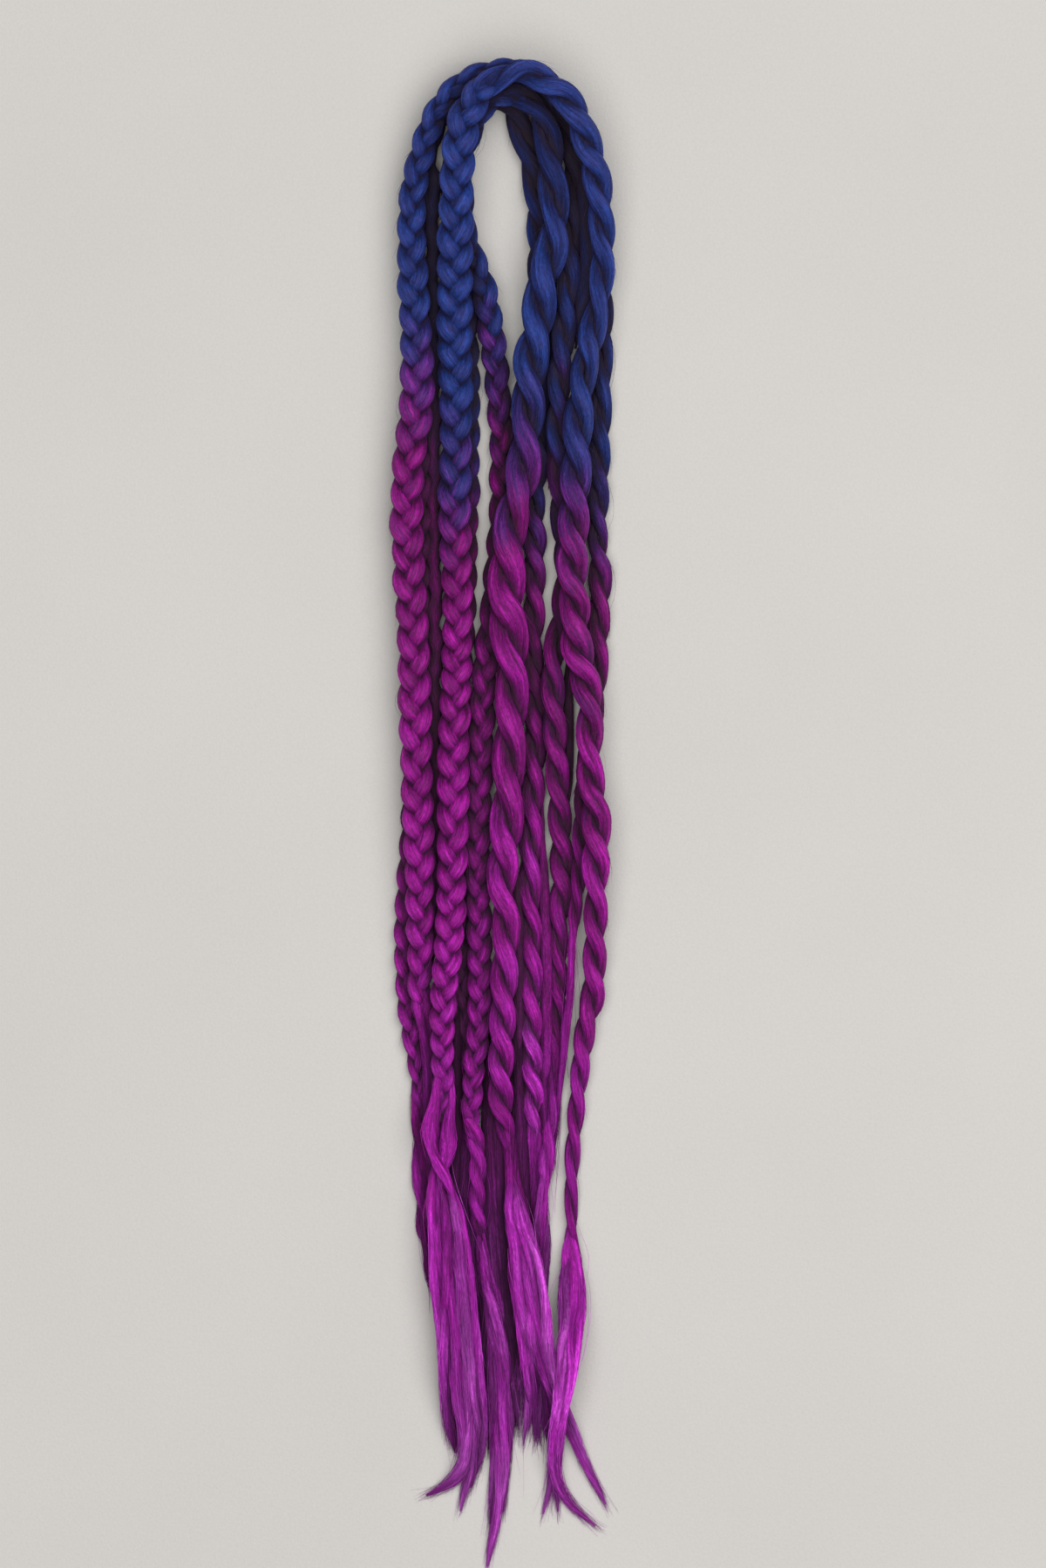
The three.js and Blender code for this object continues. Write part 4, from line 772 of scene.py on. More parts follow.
# Loose hair that fills the gaps between locks, low down; with its painted shade it also stands in for the shade in
# those gaps. Then: the painted light that reaches it, rows of x, y, z and the two half sizes (mm).
LOOSE = {
    "braid_5": [
        (0.85, [(-26.64, 277.06, 4.2, 2.05, 3.0), (-27.83, 274.1, 4.2, 3.1, 3.0), (-28.73, 271.12, 4.2, 2.74, 3.0), (-29.23, 268.13, 4.2, 2.16, 3.0), (-28.84, 265.18, 4.2, 3.1, 3.0), (-28.44, 262.22, 4.2, 4.03, 3.0), (-28.3, 259.24, 4.2, 3.13, 3.0), (-28.51, 256.25, 4.2, 2.23, 3.0), (-29.02, 253.3, 4.2, 3.19, 3.0), (-29.52, 250.34, 4.2, 4.14, 3.0), (-29.74, 247.36, 4.2, 3.22, 3.0), (-29.59, 244.37, 4.2, 2.29, 3.0), (-29.12, 241.42, 4.2, 3.24, 3.0), (-28.66, 238.46, 4.2, 4.21, 3.0), (-28.4, 235.48, 4.2, 3.24, 3.0), (-28.58, 232.49, 4.2, 2.29, 3.0), (-28.98, 229.54, 4.2, 3.24, 3.0), (-29.41, 226.58, 4.2, 4.21, 3.0), (-29.56, 223.6, 4.2, 3.24, 3.0), (-29.34, 220.61, 4.2, 2.29, 3.0), (-28.84, 217.66, 4.2, 3.24, 3.0), (-28.33, 214.7, 4.2, 4.21, 3.0), (-28.15, 211.72, 4.2, 3.24, 3.0), (-28.3, 208.73, 4.2, 2.29, 3.0), (-28.73, 205.78, 4.2, 3.22, 3.0), (-29.16, 202.82, 4.2, 4.16, 3.0), (-29.34, 199.84, 4.2, 3.2, 3.0), (-29.12, 196.85, 4.2, 2.25, 3.0), (-28.66, 193.9, 4.2, 3.19, 3.0), (-28.19, 190.94, 4.2, 4.1, 3.0), (-27.97, 187.96, 4.2, 3.17, 3.0), (-28.15, 184.97, 4.2, 2.21, 3.0), (-28.58, 182.02, 4.2, 3.13, 3.0), (-29.02, 179.06, 4.2, 4.05, 3.0), (-29.16, 176.08, 4.2, 3.11, 3.0), (-28.98, 173.09, 4.2, 2.2, 3.0), (-28.48, 170.14, 4.2, 3.1, 3.0), (-28.01, 167.18, 4.2, 4.0, 3.0), (-27.79, 164.2, 4.2, 3.08, 3.0), (-27.97, 161.21, 4.2, 2.18, 3.0), (-28.4, 158.26, 4.2, 3.08, 3.0), (-28.84, 155.3, 4.2, 3.98, 3.0), (-29.02, 152.32, 4.2, 3.08, 3.0), (-28.8, 149.33, 4.2, 2.18, 3.0), (-28.33, 146.38, 4.2, 3.08, 3.0), (-27.86, 143.42, 4.2, 3.98, 3.0), (-27.65, 140.44, 4.2, 3.08, 3.0), (-27.83, 137.45, 4.2, 2.18, 3.0), (-28.26, 134.5, 4.2, 3.08, 3.0), (-28.69, 131.54, 4.2, 3.98, 3.0), (-28.87, 128.56, 4.2, 3.08, 3.0), (-28.66, 125.57, 4.2, 2.18, 3.0), (-28.19, 122.62, 4.2, 3.08, 3.0), (-27.72, 119.66, 4.2, 3.98, 3.0), (-27.5, 116.68, 4.2, 3.08, 3.0), (-27.68, 113.69, 4.2, 2.18, 3.0), (-28.12, 110.74, 4.2, 3.08, 3.0), (-28.55, 107.78, 4.2, 3.98, 3.0), (-28.73, 104.8, 4.2, 3.08, 3.0), (-28.55, 101.81, 4.2, 2.18, 3.0), (-28.08, 98.86, 4.2, 3.08, 3.0), (-27.61, 95.9, 4.2, 3.98, 3.0), (-27.43, 92.92, 4.2, 3.08, 3.0), (-27.61, 89.93, 4.2, 2.18, 3.0), (-28.08, 86.98, 4.2, 3.08, 3.0), (-28.55, 84.02, 4.2, 3.98, 3.0), (-28.73, 81.04, 4.2, 3.08, 3.0), (-28.55, 78.05, 4.2, 2.18, 3.0), (-28.08, 75.1, 4.2, 3.08, 3.0), (-27.61, 72.14, 4.2, 3.98, 3.0), (-27.43, 69.16, 4.2, 3.08, 3.0), (-27.61, 66.17, 4.2, 2.18, 3.0), (-28.08, 63.22, 4.2, 3.08, 3.0), (-28.55, 60.26, 4.2, 3.98, 3.0), (-28.73, 57.28, 4.2, 3.08, 3.0), (-28.55, 54.29, 4.2, 2.18, 3.0), (-28.08, 51.34, 4.2, 3.08, 3.0), (-27.61, 48.38, 4.2, 3.98, 3.0), (-27.43, 45.4, 4.2, 3.06, 3.0), (-27.61, 42.41, 4.2, 2.14, 3.0), (-28.08, 39.46, 4.2, 3.04, 3.0), (-28.55, 36.5, 4.2, 3.91, 3.0), (-28.73, 33.52, 4.2, 3.01, 3.0), (-28.55, 30.53, 4.2, 2.11, 3.0), (-28.08, 27.58, 4.2, 2.97, 3.0), (-27.61, 24.62, 4.2, 3.83, 3.0), (-27.43, 21.64, 4.2, 2.95, 3.0), (-27.61, 18.65, 4.2, 2.07, 3.0), (-28.08, 15.7, 4.2, 2.92, 3.0), (-28.55, 12.74, 4.2, 3.76, 3.0), (-28.73, 9.76, 4.2, 2.88, 3.0), (-28.55, 6.77, 4.2, 2.0, 3.0), (-28.08, 3.82, 4.2, 2.79, 3.0), (-27.61, 0.86, 4.2, 3.56, 3.0), (-27.43, -2.12, 4.2, 2.72, 3.0), (-27.61, -5.11, 4.2, 1.89, 3.0), (-28.08, -8.06, 4.2, 2.65, 3.0), (-28.55, -11.02, 4.2, 3.37, 3.0), (-28.73, -14.0, 4.2, 2.56, 3.0), (-28.55, -16.99, 4.2, 1.78, 3.0), (-28.08, -19.94, 4.2, 2.48, 3.0), (-27.61, -22.9, 4.2, 3.17, 3.0), (-27.43, -25.88, 4.2, 2.41, 3.0), (-27.65, -28.87, 4.2, 1.67, 3.0), (-28.15, -31.82, 4.2, 2.34, 3.0), (-28.69, -34.78, 4.2, 2.97, 3.0), (-28.91, -37.76, 4.2, 2.25, 3.0), (-28.8, -40.75, 4.2, 1.57, 3.0), (-28.37, -43.7, 4.2, 2.18, 3.0), (-27.97, -46.66, 4.2, 2.77, 3.0), (-27.83, -49.64, 4.2, 2.11, 3.0), (-28.08, -52.63, 4.2, 1.46, 3.0), (-28.58, -55.58, 4.2, 2.03, 3.0), (-29.12, -58.54, 4.2, 2.57, 3.0), (-29.34, -61.52, 4.2, 1.94, 3.0), (-29.23, -64.51, 4.2, 1.35, 3.0)]),
    ],
    "twist_5": [
        (0.6, [(30.6, 271.66, 6.0, 2.52, 4.0), (34.2, 255.46, 6.0, 3.6, 4.0), (35.64, 239.26, 6.0, 4.32, 4.0), (36.0, 224.86, 6.0, 4.32, 4.0), (33.48, 210.46, 6.0, 3.96, 4.0), (29.88, 192.46, 6.0, 2.52, 4.0)]),
        (0.6, [(26.28, 68.26, 2.5, 1.08, 2.0), (27.0, 52.06, 2.5, 1.98, 2.0), (27.36, 26.86, 2.5, 1.98, 2.0), (27.0, -0.14, 2.5, 1.26, 2.0)]),
    ],
    "twist_4": [
        (0.6, [(21.24, 174.46, 4.0, 1.44, 3.0), (20.52, 160.06, 4.0, 2.34, 3.0), (19.8, 145.66, 4.0, 2.16, 3.0), (18.72, 134.14, 4.0, 0.72, 3.0)]),
        (0.6, [(5.4, -18.14, 3.5, 1.44, 3.0), (6.12, -34.34, 3.5, 2.34, 3.0), (6.48, -59.54, 3.5, 2.52, 3.0), (6.48, -88.34, 3.5, 2.52, 3.0), (6.12, -104.54, 3.5, 2.16, 3.0)]),
        (0.6, [(16.56, 10.66, 3.0, 0.72, 2.5), (16.2, -9.14, 3.0, 1.26, 2.5), (16.92, -27.14, 3.0, 2.16, 2.5), (18.0, -59.54, 3.0, 2.7, 2.5), (18.0, -95.54, 3.0, 2.34, 2.5), (17.28, -117.14, 3.0, 1.44, 2.5)]),
    ],
    "braid_tail_4": [
        (0.4, [(-19.08, -73.94, 3.2, 1.8, 2.8), (-19.44, -95.54, 3.2, 2.52, 2.8), (-19.8, -124.34, 3.2, 2.7, 2.8), (-20.16, -153.14, 3.2, 2.16, 2.8), (-19.08, -178.34, 3.2, 1.44, 2.8)]),
    ],
    "twist_tail_4": [
        (0.34, [(-5.76, -88.34, 2.6, 2.16, 2.4), (-5.04, -113.54, 2.6, 3.6, 2.4), (-3.96, -138.74, 2.6, 4.68, 2.4), (-2.52, -167.54, 2.6, 5.04, 2.4), (0.0, -196.34, 2.6, 5.4, 2.4), (2.52, -217.94, 2.6, 5.04, 2.4), (4.32, -235.94, 2.6, 3.24, 2.4), (5.76, -248.54, 2.6, 1.44, 2.4), (6.84, -257.54, 2.6, 0.36, 2.4)]),
        (0.34, [(5.4, -81.14, 3.0, 2.16, 2.6), (6.12, -109.94, 3.0, 3.06, 2.6), (7.2, -135.14, 3.0, 3.06, 2.6), (8.64, -160.34, 3.0, 2.7, 2.6), (9.72, -178.34, 3.0, 2.16, 2.6), (11.16, -199.94, 3.0, 0.72, 2.6)]),
        (0.4, [(-7.56, -181.94, 2.2, 1.8, 2.0), (-7.2, -203.54, 2.2, 2.52, 2.0), (-5.76, -228.74, 2.2, 2.52, 2.0), (-3.96, -253.94, 2.2, 0.9, 2.0)]),
    ],
    "twist_tail_5": [
        (0.6, [(16.92, -81.14, 2.6, 1.44, 2.2), (16.92, -109.94, 2.6, 1.98, 2.2), (16.56, -138.74, 2.6, 1.44, 2.2)]),
    ],
}


def make_tail(name, path, spec):
    kind, _, number = name.split("_")
    braid = kind == "braid"
    rng = np.random.default_rng(sum(map(ord, name)) * 17 + 3)
    at = path.at
    g = Gather()
    length = at["braid_end"] if braid else at["total"] - at["twist_end"]
    leg = f"{kind}_{number}"
    clumps, extra, plies = spec["clumps"], LOOSE.get(name, []), spec.get("plies")
    loops, laid = spec.get("loops", []), spec.get("laid", [])
    first = PARTS * (len(clumps) + len(laid))
    columns = first + 2 * len(extra) + (2 if plies else 0) + len(loops)
    places = place_cells(columns, 0.45, 1.0, columns)
    t0 = spec.get("start", -LEAD)

    def line(t):
        s = at["braid_end"] - t if braid else at["twist_end"] + t
        c, side, a, b = path.frame(s)
        return c, (-side if braid else side), a, b

    sets = []

    def parted(P, r1, r2, tone, dark, cells, many):
        """A clump as a few finer strands that run beside and over one another."""
        n = len(P)
        long = np.concatenate([[0], np.cumsum(np.linalg.norm(np.diff(P, axis=0), axis=1))])
        T, e1, e2 = along_frames(P)
        turn = rng.uniform(0, 6.28) + rng.choice([-1, 1]) * 2 * np.pi * long / rng.uniform(150, 260)
        for j in range(PARTS):
            ph = turn + 2 * np.pi * j / PARTS + 0.9 * wander(rng, n, TAIL_RING, 30.0)
            out = 0.50 + 0.16 * wander(rng, n, TAIL_RING, 25.0)
            p = P + e1 * (out * r1 * np.cos(ph))[:, None] + e2 * (0.45 * r2 * np.sin(ph))[:, None]
            size = 1 + 0.10 * wander(rng, n, TAIL_RING, 22.0)
            a, b = np.maximum(0.65 * r1 * size, 0.09), np.maximum(0.66 * r2 * size, 0.09)
            p[:, 2] = np.maximum(p[:, 2], b * 0.95)
            tn = tone + 0.07 * rng.normal()
            # painted light of the clump, with a slow random swing along it
            painted_light_along = dark * np.clip(0.92 + 0.13 * wander(rng, n, TAIL_RING, 45.0), 0.65, 1.2)
            E1, E2 = strand(g, p, a, b, rng, 11, 0.04, tn[:, None], lambda pts: np.repeat(painted_light_along[:, None], pts.shape[1], 1),
                            rng.uniform(0, 90), cells[j:j + 1], roll=0.01)
            sets.append(dict(P=p, e1=E1, e2=E2, r1=a, r2=b, tone=tn, dark=dark, hairs=many * 1.9 / PARTS, tip=True))

    for k, cl in enumerate(clumps):
        end = cl.get("end")
        reach = cl.get("reach", 1.0) * length
        n = int((reach - t0) / TAIL_RING) + 1
        t = np.linspace(t0, reach, n)
        step = t[1] - t[0]
        c, side, a, b = line(t)
        a, b = a * spec.get("wide", 1.0), b * spec.get("thick", 1.0)
        f = np.clip(t / reach, 0, 1)
        enter = np.clip((t - t0) / 14.0, 0.45, 1)
        # the route narrows to its own tip: clumps that part from it keep some body of their own
        a, b = np.maximum(a, spec.get("body", 2.2) * (1 - f) ** 0.5), np.maximum(b, 1.3 * (1 - f) ** 0.5 + 0.3)
        drift = 0.10 * wander(rng, n, step, 40.0)
        u = (cl["at"] * (1 - 0.55 * cl["share"]) + drift * (1 - cl["share"])) * a * enter
        v = cl.get("up", 0.0) * b * 0.45 * enter + 0.06 * b * wander(rng, n, step, 35.0)
        P = c + side * u[:, None] + UP * v[:, None]
        if end is not None:
            part = cl.get("part", 0.6)
            go = ease((f - part) / (1 - part)) ** 1.15
            gap = np.array([end[0], end[1], 0]) - np.array([P[-1, 0], P[-1, 1], 0])
            P = P + gap[None] * go[:, None]
        swell = 1 + 0.10 * wander(rng, n, step, 25.0)
        tip = np.clip((1 - f) / (1 - cl.get("taper", 0.66)), 0, 1) ** cl.get("sharp", 0.75)
        r1 = np.maximum(a * cl["share"] * enter * swell * tip, 0.10)
        r2 = np.maximum(b * (0.55 + 0.35 * cl["share"]) * enter * swell * np.minimum(tip * 1.6, 1), 0.10)
        fall = ease((f - 0.5) / 0.5)
        if cl.get("lies", False):
            P[:, 2] = P[:, 2] * (1 - fall) + (r2 + 0.2) * fall
        P[:, 2] = np.maximum(P[:, 2], r2 * 0.95)
        tone = tone_at(leg, P[:, 1]) + 0.10 * rng.normal() + 0.07 * wander(rng, n, step, 25.0) + cl.get("tone", 0.0)
        dark = cl.get("dark", 1.0) * spec.get("dark", 1.0)
        parted(P, r1, r2, tone, dark, places[PARTS * k:PARTS * (k + 1)], cl.get("hairs", 60))
    for k, rows in enumerate(laid):
        # rows of x, y, height above the tail's own line and width (mm), the last ones lying down
        q = resample([(r[0], r[1], 0.0, r[2], r[3]) for r in rows], TAIL_RING)
        n = len(q)
        t = np.linspace(-LEAD, length, 200)
        c, side, a, b = line(t)
        down = np.maximum.accumulate(-c[:, 1])
        z = np.interp(-q[:, 1], down + np.arange(200) * 1e-6, c[:, 2])
        come = ease(np.arange(n) * TAIL_RING / 22.0)
        r1 = q[:, 4] / 2 * (0.25 + 0.75 * come)
        r2 = np.minimum(np.maximum(r1 * 0.75, 0.1), 3.0)
        P = q[:, :3].copy()
        fall = ease((np.linspace(0, 1, n) - 0.60) / 0.38)
        P[:, 2] = np.maximum((z + q[:, 3] - 2.0 * (1 - come)) * (1 - fall) + (r2 + 0.2) * fall, r2 * 0.95)
        tone = tone_at(leg, P[:, 1]) + 0.10 * rng.normal() + 0.07 * wander(rng, n, TAIL_RING, 25.0)
        at_cell = PARTS * (len(clumps) + k)
        parted(P, r1, r2, tone, spec.get("dark", 1.0), places[at_cell:at_cell + PARTS], 70)
    if plies:
        n = int((plies["to"] + LEAD) / 1.7) + 1
        t = np.linspace(-LEAD, plies["to"], n)
        c, side, a, b = line(t)
        for k in range(2):
            ph = 2 * np.pi * t / plies["pitch"] + np.pi * k + plies.get("phase", 0.0)
            grow = np.clip((t + LEAD) / 8, 0.4, 1) * np.clip((plies["to"] - t) / 10, 0.35, 1)
            a = a * plies.get("wide", 1.0) if k == 0 else a
            P = c + side * (0.42 * a * np.cos(-ph) * grow)[:, None] + UP * (0.42 * b * np.sin(-ph) * grow)[:, None]
            r1, r2 = 0.60 * a * grow, 0.70 * b * grow
            P[:, 2] = np.maximum(P[:, 2], r2 * 0.95)
            tone = tone_at(leg, P[:, 1]) + 0.1 * rng.normal()
            cav = cavity_of(dict(c=c, side=side, a=a, b=b), 0.35, 0.95)
            e1, e2 = strand(g, P, r1, r2, rng, 18, 0.04, tone[:, None], cav, rng.uniform(0, 90),
                            places[first + k:first + k + 1], roll=0.02)
            sets.append(dict(P=P, e1=e1, e2=e2, r1=r1, r2=r2, tone=tone, dark=1.0, hairs=40, tip=False))
    for k, rows in enumerate(loops):
        # rows of x, y, height above the tail's own line and width (mm)
        q = resample([(r[0], r[1], 0.0, r[2], r[3]) for r in rows], 1.6)
        t = np.linspace(-LEAD, length, 200)
        c, side, a, b = line(t)
        down = np.maximum.accumulate(-c[:, 1])
        P = q[:, :3].copy()
        P[:, 2] = np.interp(-q[:, 1], down + np.arange(200) * 1e-6, c[:, 2]) + q[:, 3]
        tone = tone_at(leg, P[:, 1]) + 0.1 * rng.normal()
        ends = np.clip(np.minimum(np.arange(len(q)), np.arange(len(q))[::-1]) / 9, 0.12, 1) ** 0.7
        r1, r2 = q[:, 4] / 2 * ends, np.minimum(q[:, 4] / 2 * 0.85, 3.0) * ends
        P[:, 2] = np.maximum(P[:, 2], r2 * 0.95)
        cell = first + (2 if plies else 0) + k
        # loops get an even painted shade: a light factor of 0.95
        e1, e2 = strand(g, P, r1, r2, rng, 20, 0.05, tone[:, None], lambda pts: np.full(pts.shape[:2], 0.95),
                        rng.uniform(0, 90), places[cell:cell + 1], roll=0.05)
        sets.append(dict(P=P, e1=e1, e2=e2, r1=r1, r2=r2, tone=tone, dark=1.0, hairs=50, tip=False))
    for k, (dark, rows) in enumerate(extra):
        at_cell = columns - 2 * len(extra) + 2 * k
        st = loose_strand(g, leg, rows, dark, rng, places[at_cell:at_cell + 2])
        sets.append(dict(st, hairs=45, tip=False))
    # single hairs on each clump: most end with it, some earlier, the last of their length a little astray
    R = 9
    made, fuzz = [], []
    for st in sets:
        P, r1, r2 = st["P"], st["r1"], st["r2"]
        n = len(P)
        long = np.linalg.norm(np.diff(P, axis=0), axis=1).sum()
        many = int(st["hairs"])
        f0 = rng.uniform(0.0, 0.75, many)
        f1 = np.minimum(f0 + rng.uniform(0.2, 0.55, many), 1.0)
        longer = rng.random(many) < (0.55 if st["tip"] else 0.2)
        f1[longer] = rng.uniform(0.90, 1.0, longer.sum())
        w = np.linspace(0, 1, R)[None]
        ff = f0[:, None] + (f1 - f0)[:, None] * w
        fi = ff * (n - 1)
        pick = lambda arr: np.stack([np.interp(fi, np.arange(n), arr[:, c]) for c in range(3)], -1)
        p, E1, E2 = pick(P), pick(st["e1"]), pick(st["e2"])
        q1, q2 = np.interp(fi, np.arange(n), r1), np.interp(fi, np.arange(n), r2)
        ang = rng.uniform(-0.4, math.pi + 0.4, many)[:, None] + 0.3 * rng.normal(size=(many, 1)) * (w - 0.5)
        keep = rng.uniform(0.0, 0.10, many)[:, None]
        spread = ease((ff - 0.62) / 0.38) * spec.get("fray", 1.0) * (1.0 if st["tip"] else 0.2)
        q1 = q1 * (1 + keep) + spread * rng.uniform(0.1, 1.3, many)[:, None]
        q2 = q2 * (1 + keep) + spread * rng.uniform(0.0, 0.4, many)[:, None]
        Q = p + E1 * (q1 * np.cos(ang))[..., None] + E2 * (q2 * np.sin(ang))[..., None]
        wave = (rng.uniform(0.1, 0.5, (many, 1)) * np.sin(ff * long * rng.uniform(0.18, 0.40, (many, 1)) + rng.uniform(0, 6, (many, 1))))
        stray = rng.normal(0, 1.2, (many, 1)) * np.where(rng.random((many, 1)) < 0.3, 1.0, 0.25) * w ** 3
        Q = Q + E1 * (wave + stray)[..., None]
        on = unit(np.gradient(Q, axis=1)[:, -1:])
        Q = Q + on * (rng.uniform(0, 6.0, (many, 1)) * w ** 6 * (f1[:, None] > 0.89) * st["tip"])[..., None]
        Q[..., 2] = np.maximum(Q[..., 2], 0.16)
        rad = 0.13 * np.sin(np.pi * np.linspace(0.06, 0.96, R))[None] ** 0.6 * rng.uniform(0.7, 1.15, many)[:, None]
        rad = rad * (1 - 0.4 * ease((ff - 0.75) / 0.25))
        tn = np.interp(fi, np.arange(n), st["tone"]) + 0.12 * rng.normal(size=(many, 1))
        made.append((Q, rad, tn, np.full((many, R), st["dark"])))
    # short hairs that stand off the clumps as a soft fuzz
    for st in sets:
        n = len(st["P"])
        many = int(n * 0.5)
        w = np.linspace(0, 1, 5)[None]
        fi = np.minimum(rng.uniform(0.02, 0.93, many)[:, None] * (n - 1) + rng.uniform(1.5, 4.5, many)[:, None] * w, n - 1)
        pick = lambda arr: np.stack([np.interp(fi, np.arange(n), arr[:, c]) for c in range(3)], -1)
        p, E1, E2 = pick(st["P"]), pick(st["e1"]), pick(st["e2"])
        q1, q2 = np.interp(fi, np.arange(n), st["r1"]), np.interp(fi, np.arange(n), st["r2"])
        ang = rng.uniform(-0.3, math.pi + 0.3, many)[:, None] + rng.normal(0, 0.25, many)[:, None] * w
        off = rng.uniform(0.1, 1.1, many)[:, None] * w ** 1.4
        Q = p + E1 * ((q1 * 0.98 + off) * np.cos(ang))[..., None] + E2 * ((q2 * 0.98 + 0.6 * off) * np.sin(ang))[..., None]
        Q = Q + E1 * (rng.normal(0, 0.5, (many, 1)) * w ** 2)[..., None]
        Q[..., 2] = np.maximum(Q[..., 2], 0.14)
        rad = 0.085 * (1 - 0.7 * w) * np.ones((many, 1))
        fuzz.append((Q, rad, np.interp(fi, np.arange(n), st["tone"]) + rng.normal(0, 0.14, (many, 1)), np.full((many, 5), st["dark"])))
    # a few long hairs that have come away
    many = 14
    w = np.linspace(0, 1, R)[None]
    t = np.clip(rng.uniform(-0.05, 0.6, (many, 1)) * length + rng.uniform(22, 60, (many, 1)) * w, -LEAD, length)
    c, side, a, b = (v.reshape(many, R, -1) for v in line(t.ravel()))
    off = a[..., 0] * rng.uniform(-1, 1, (many, 1)) + rng.uniform(-4, 4, (many, 1)) * np.sin(np.pi * w) + rng.normal(0, 3.5, (many, 1)) * w ** 2
    Q = c + side * off[..., None] + UP * b * rng.uniform(0.6, 1.25, (many, 1, 1))
    Q[..., 2] = np.maximum(Q[..., 2], 0.16)
    rad = 0.075 * np.sin(np.pi * np.linspace(0.06, 0.96, R))[None] ** 0.6 * np.ones((many, 1))
    made.append((Q, rad, tone_at(leg, Q[..., 1]) + 0.25 + 0.2 * rng.normal(size=(many, 1)), np.ones((many, R))))
    Q, rad, tn, cav = (np.vstack([m[i] for m in made]) for i in range(4))
    hairs(g, Q, rad, tn, cav, rng.uniform(0, 400, len(Q)), place_cells(len(Q), 0.0, 0.30, 80))
    Q, rad, tn, cav = (np.vstack([m[i] for m in fuzz]) for i in range(4))
    hairs(g, Q, rad, tn, cav, rng.uniform(0, 400, len(Q)), place_cells(len(Q), 0.30, 0.43, 100))
    return g


# ---------------------------------------------------------------------------------------------------------------
# Materials.
# ---------------------------------------------------------------------------------------------------------------
def srgb(r, g, b):
    f = lambda v: v / 12.92 if v <= 0.04045 else ((v + 0.055) / 1.055) ** 2.4
    return (f(r / 255), f(g / 255), f(b / 255), 1.0)


def nodes_of(name):
    m = bpy.data.materials.new(name)
    m.use_nodes = True
    nt = m.node_tree
    nt.nodes.clear()
    out = nt.nodes.new("ShaderNodeOutputMaterial")
    bs = nt.nodes.new("ShaderNodeBsdfPrincipled")
    nt.links.new(bs.outputs[0], out.inputs[0])
    return m, nt, bs


def math_node(nt, op, a, b=None, clamp=False):
    n = nt.nodes.new("ShaderNodeMath")
    n.operation = op
    n.use_clamp = clamp
    for i, v in enumerate((a, b)):
        if v is None:
            continue
        if isinstance(v, (int, float)):
            n.inputs[i].default_value = v
        else:
            nt.links.new(v, n.inputs[i])
    return n.outputs[0]


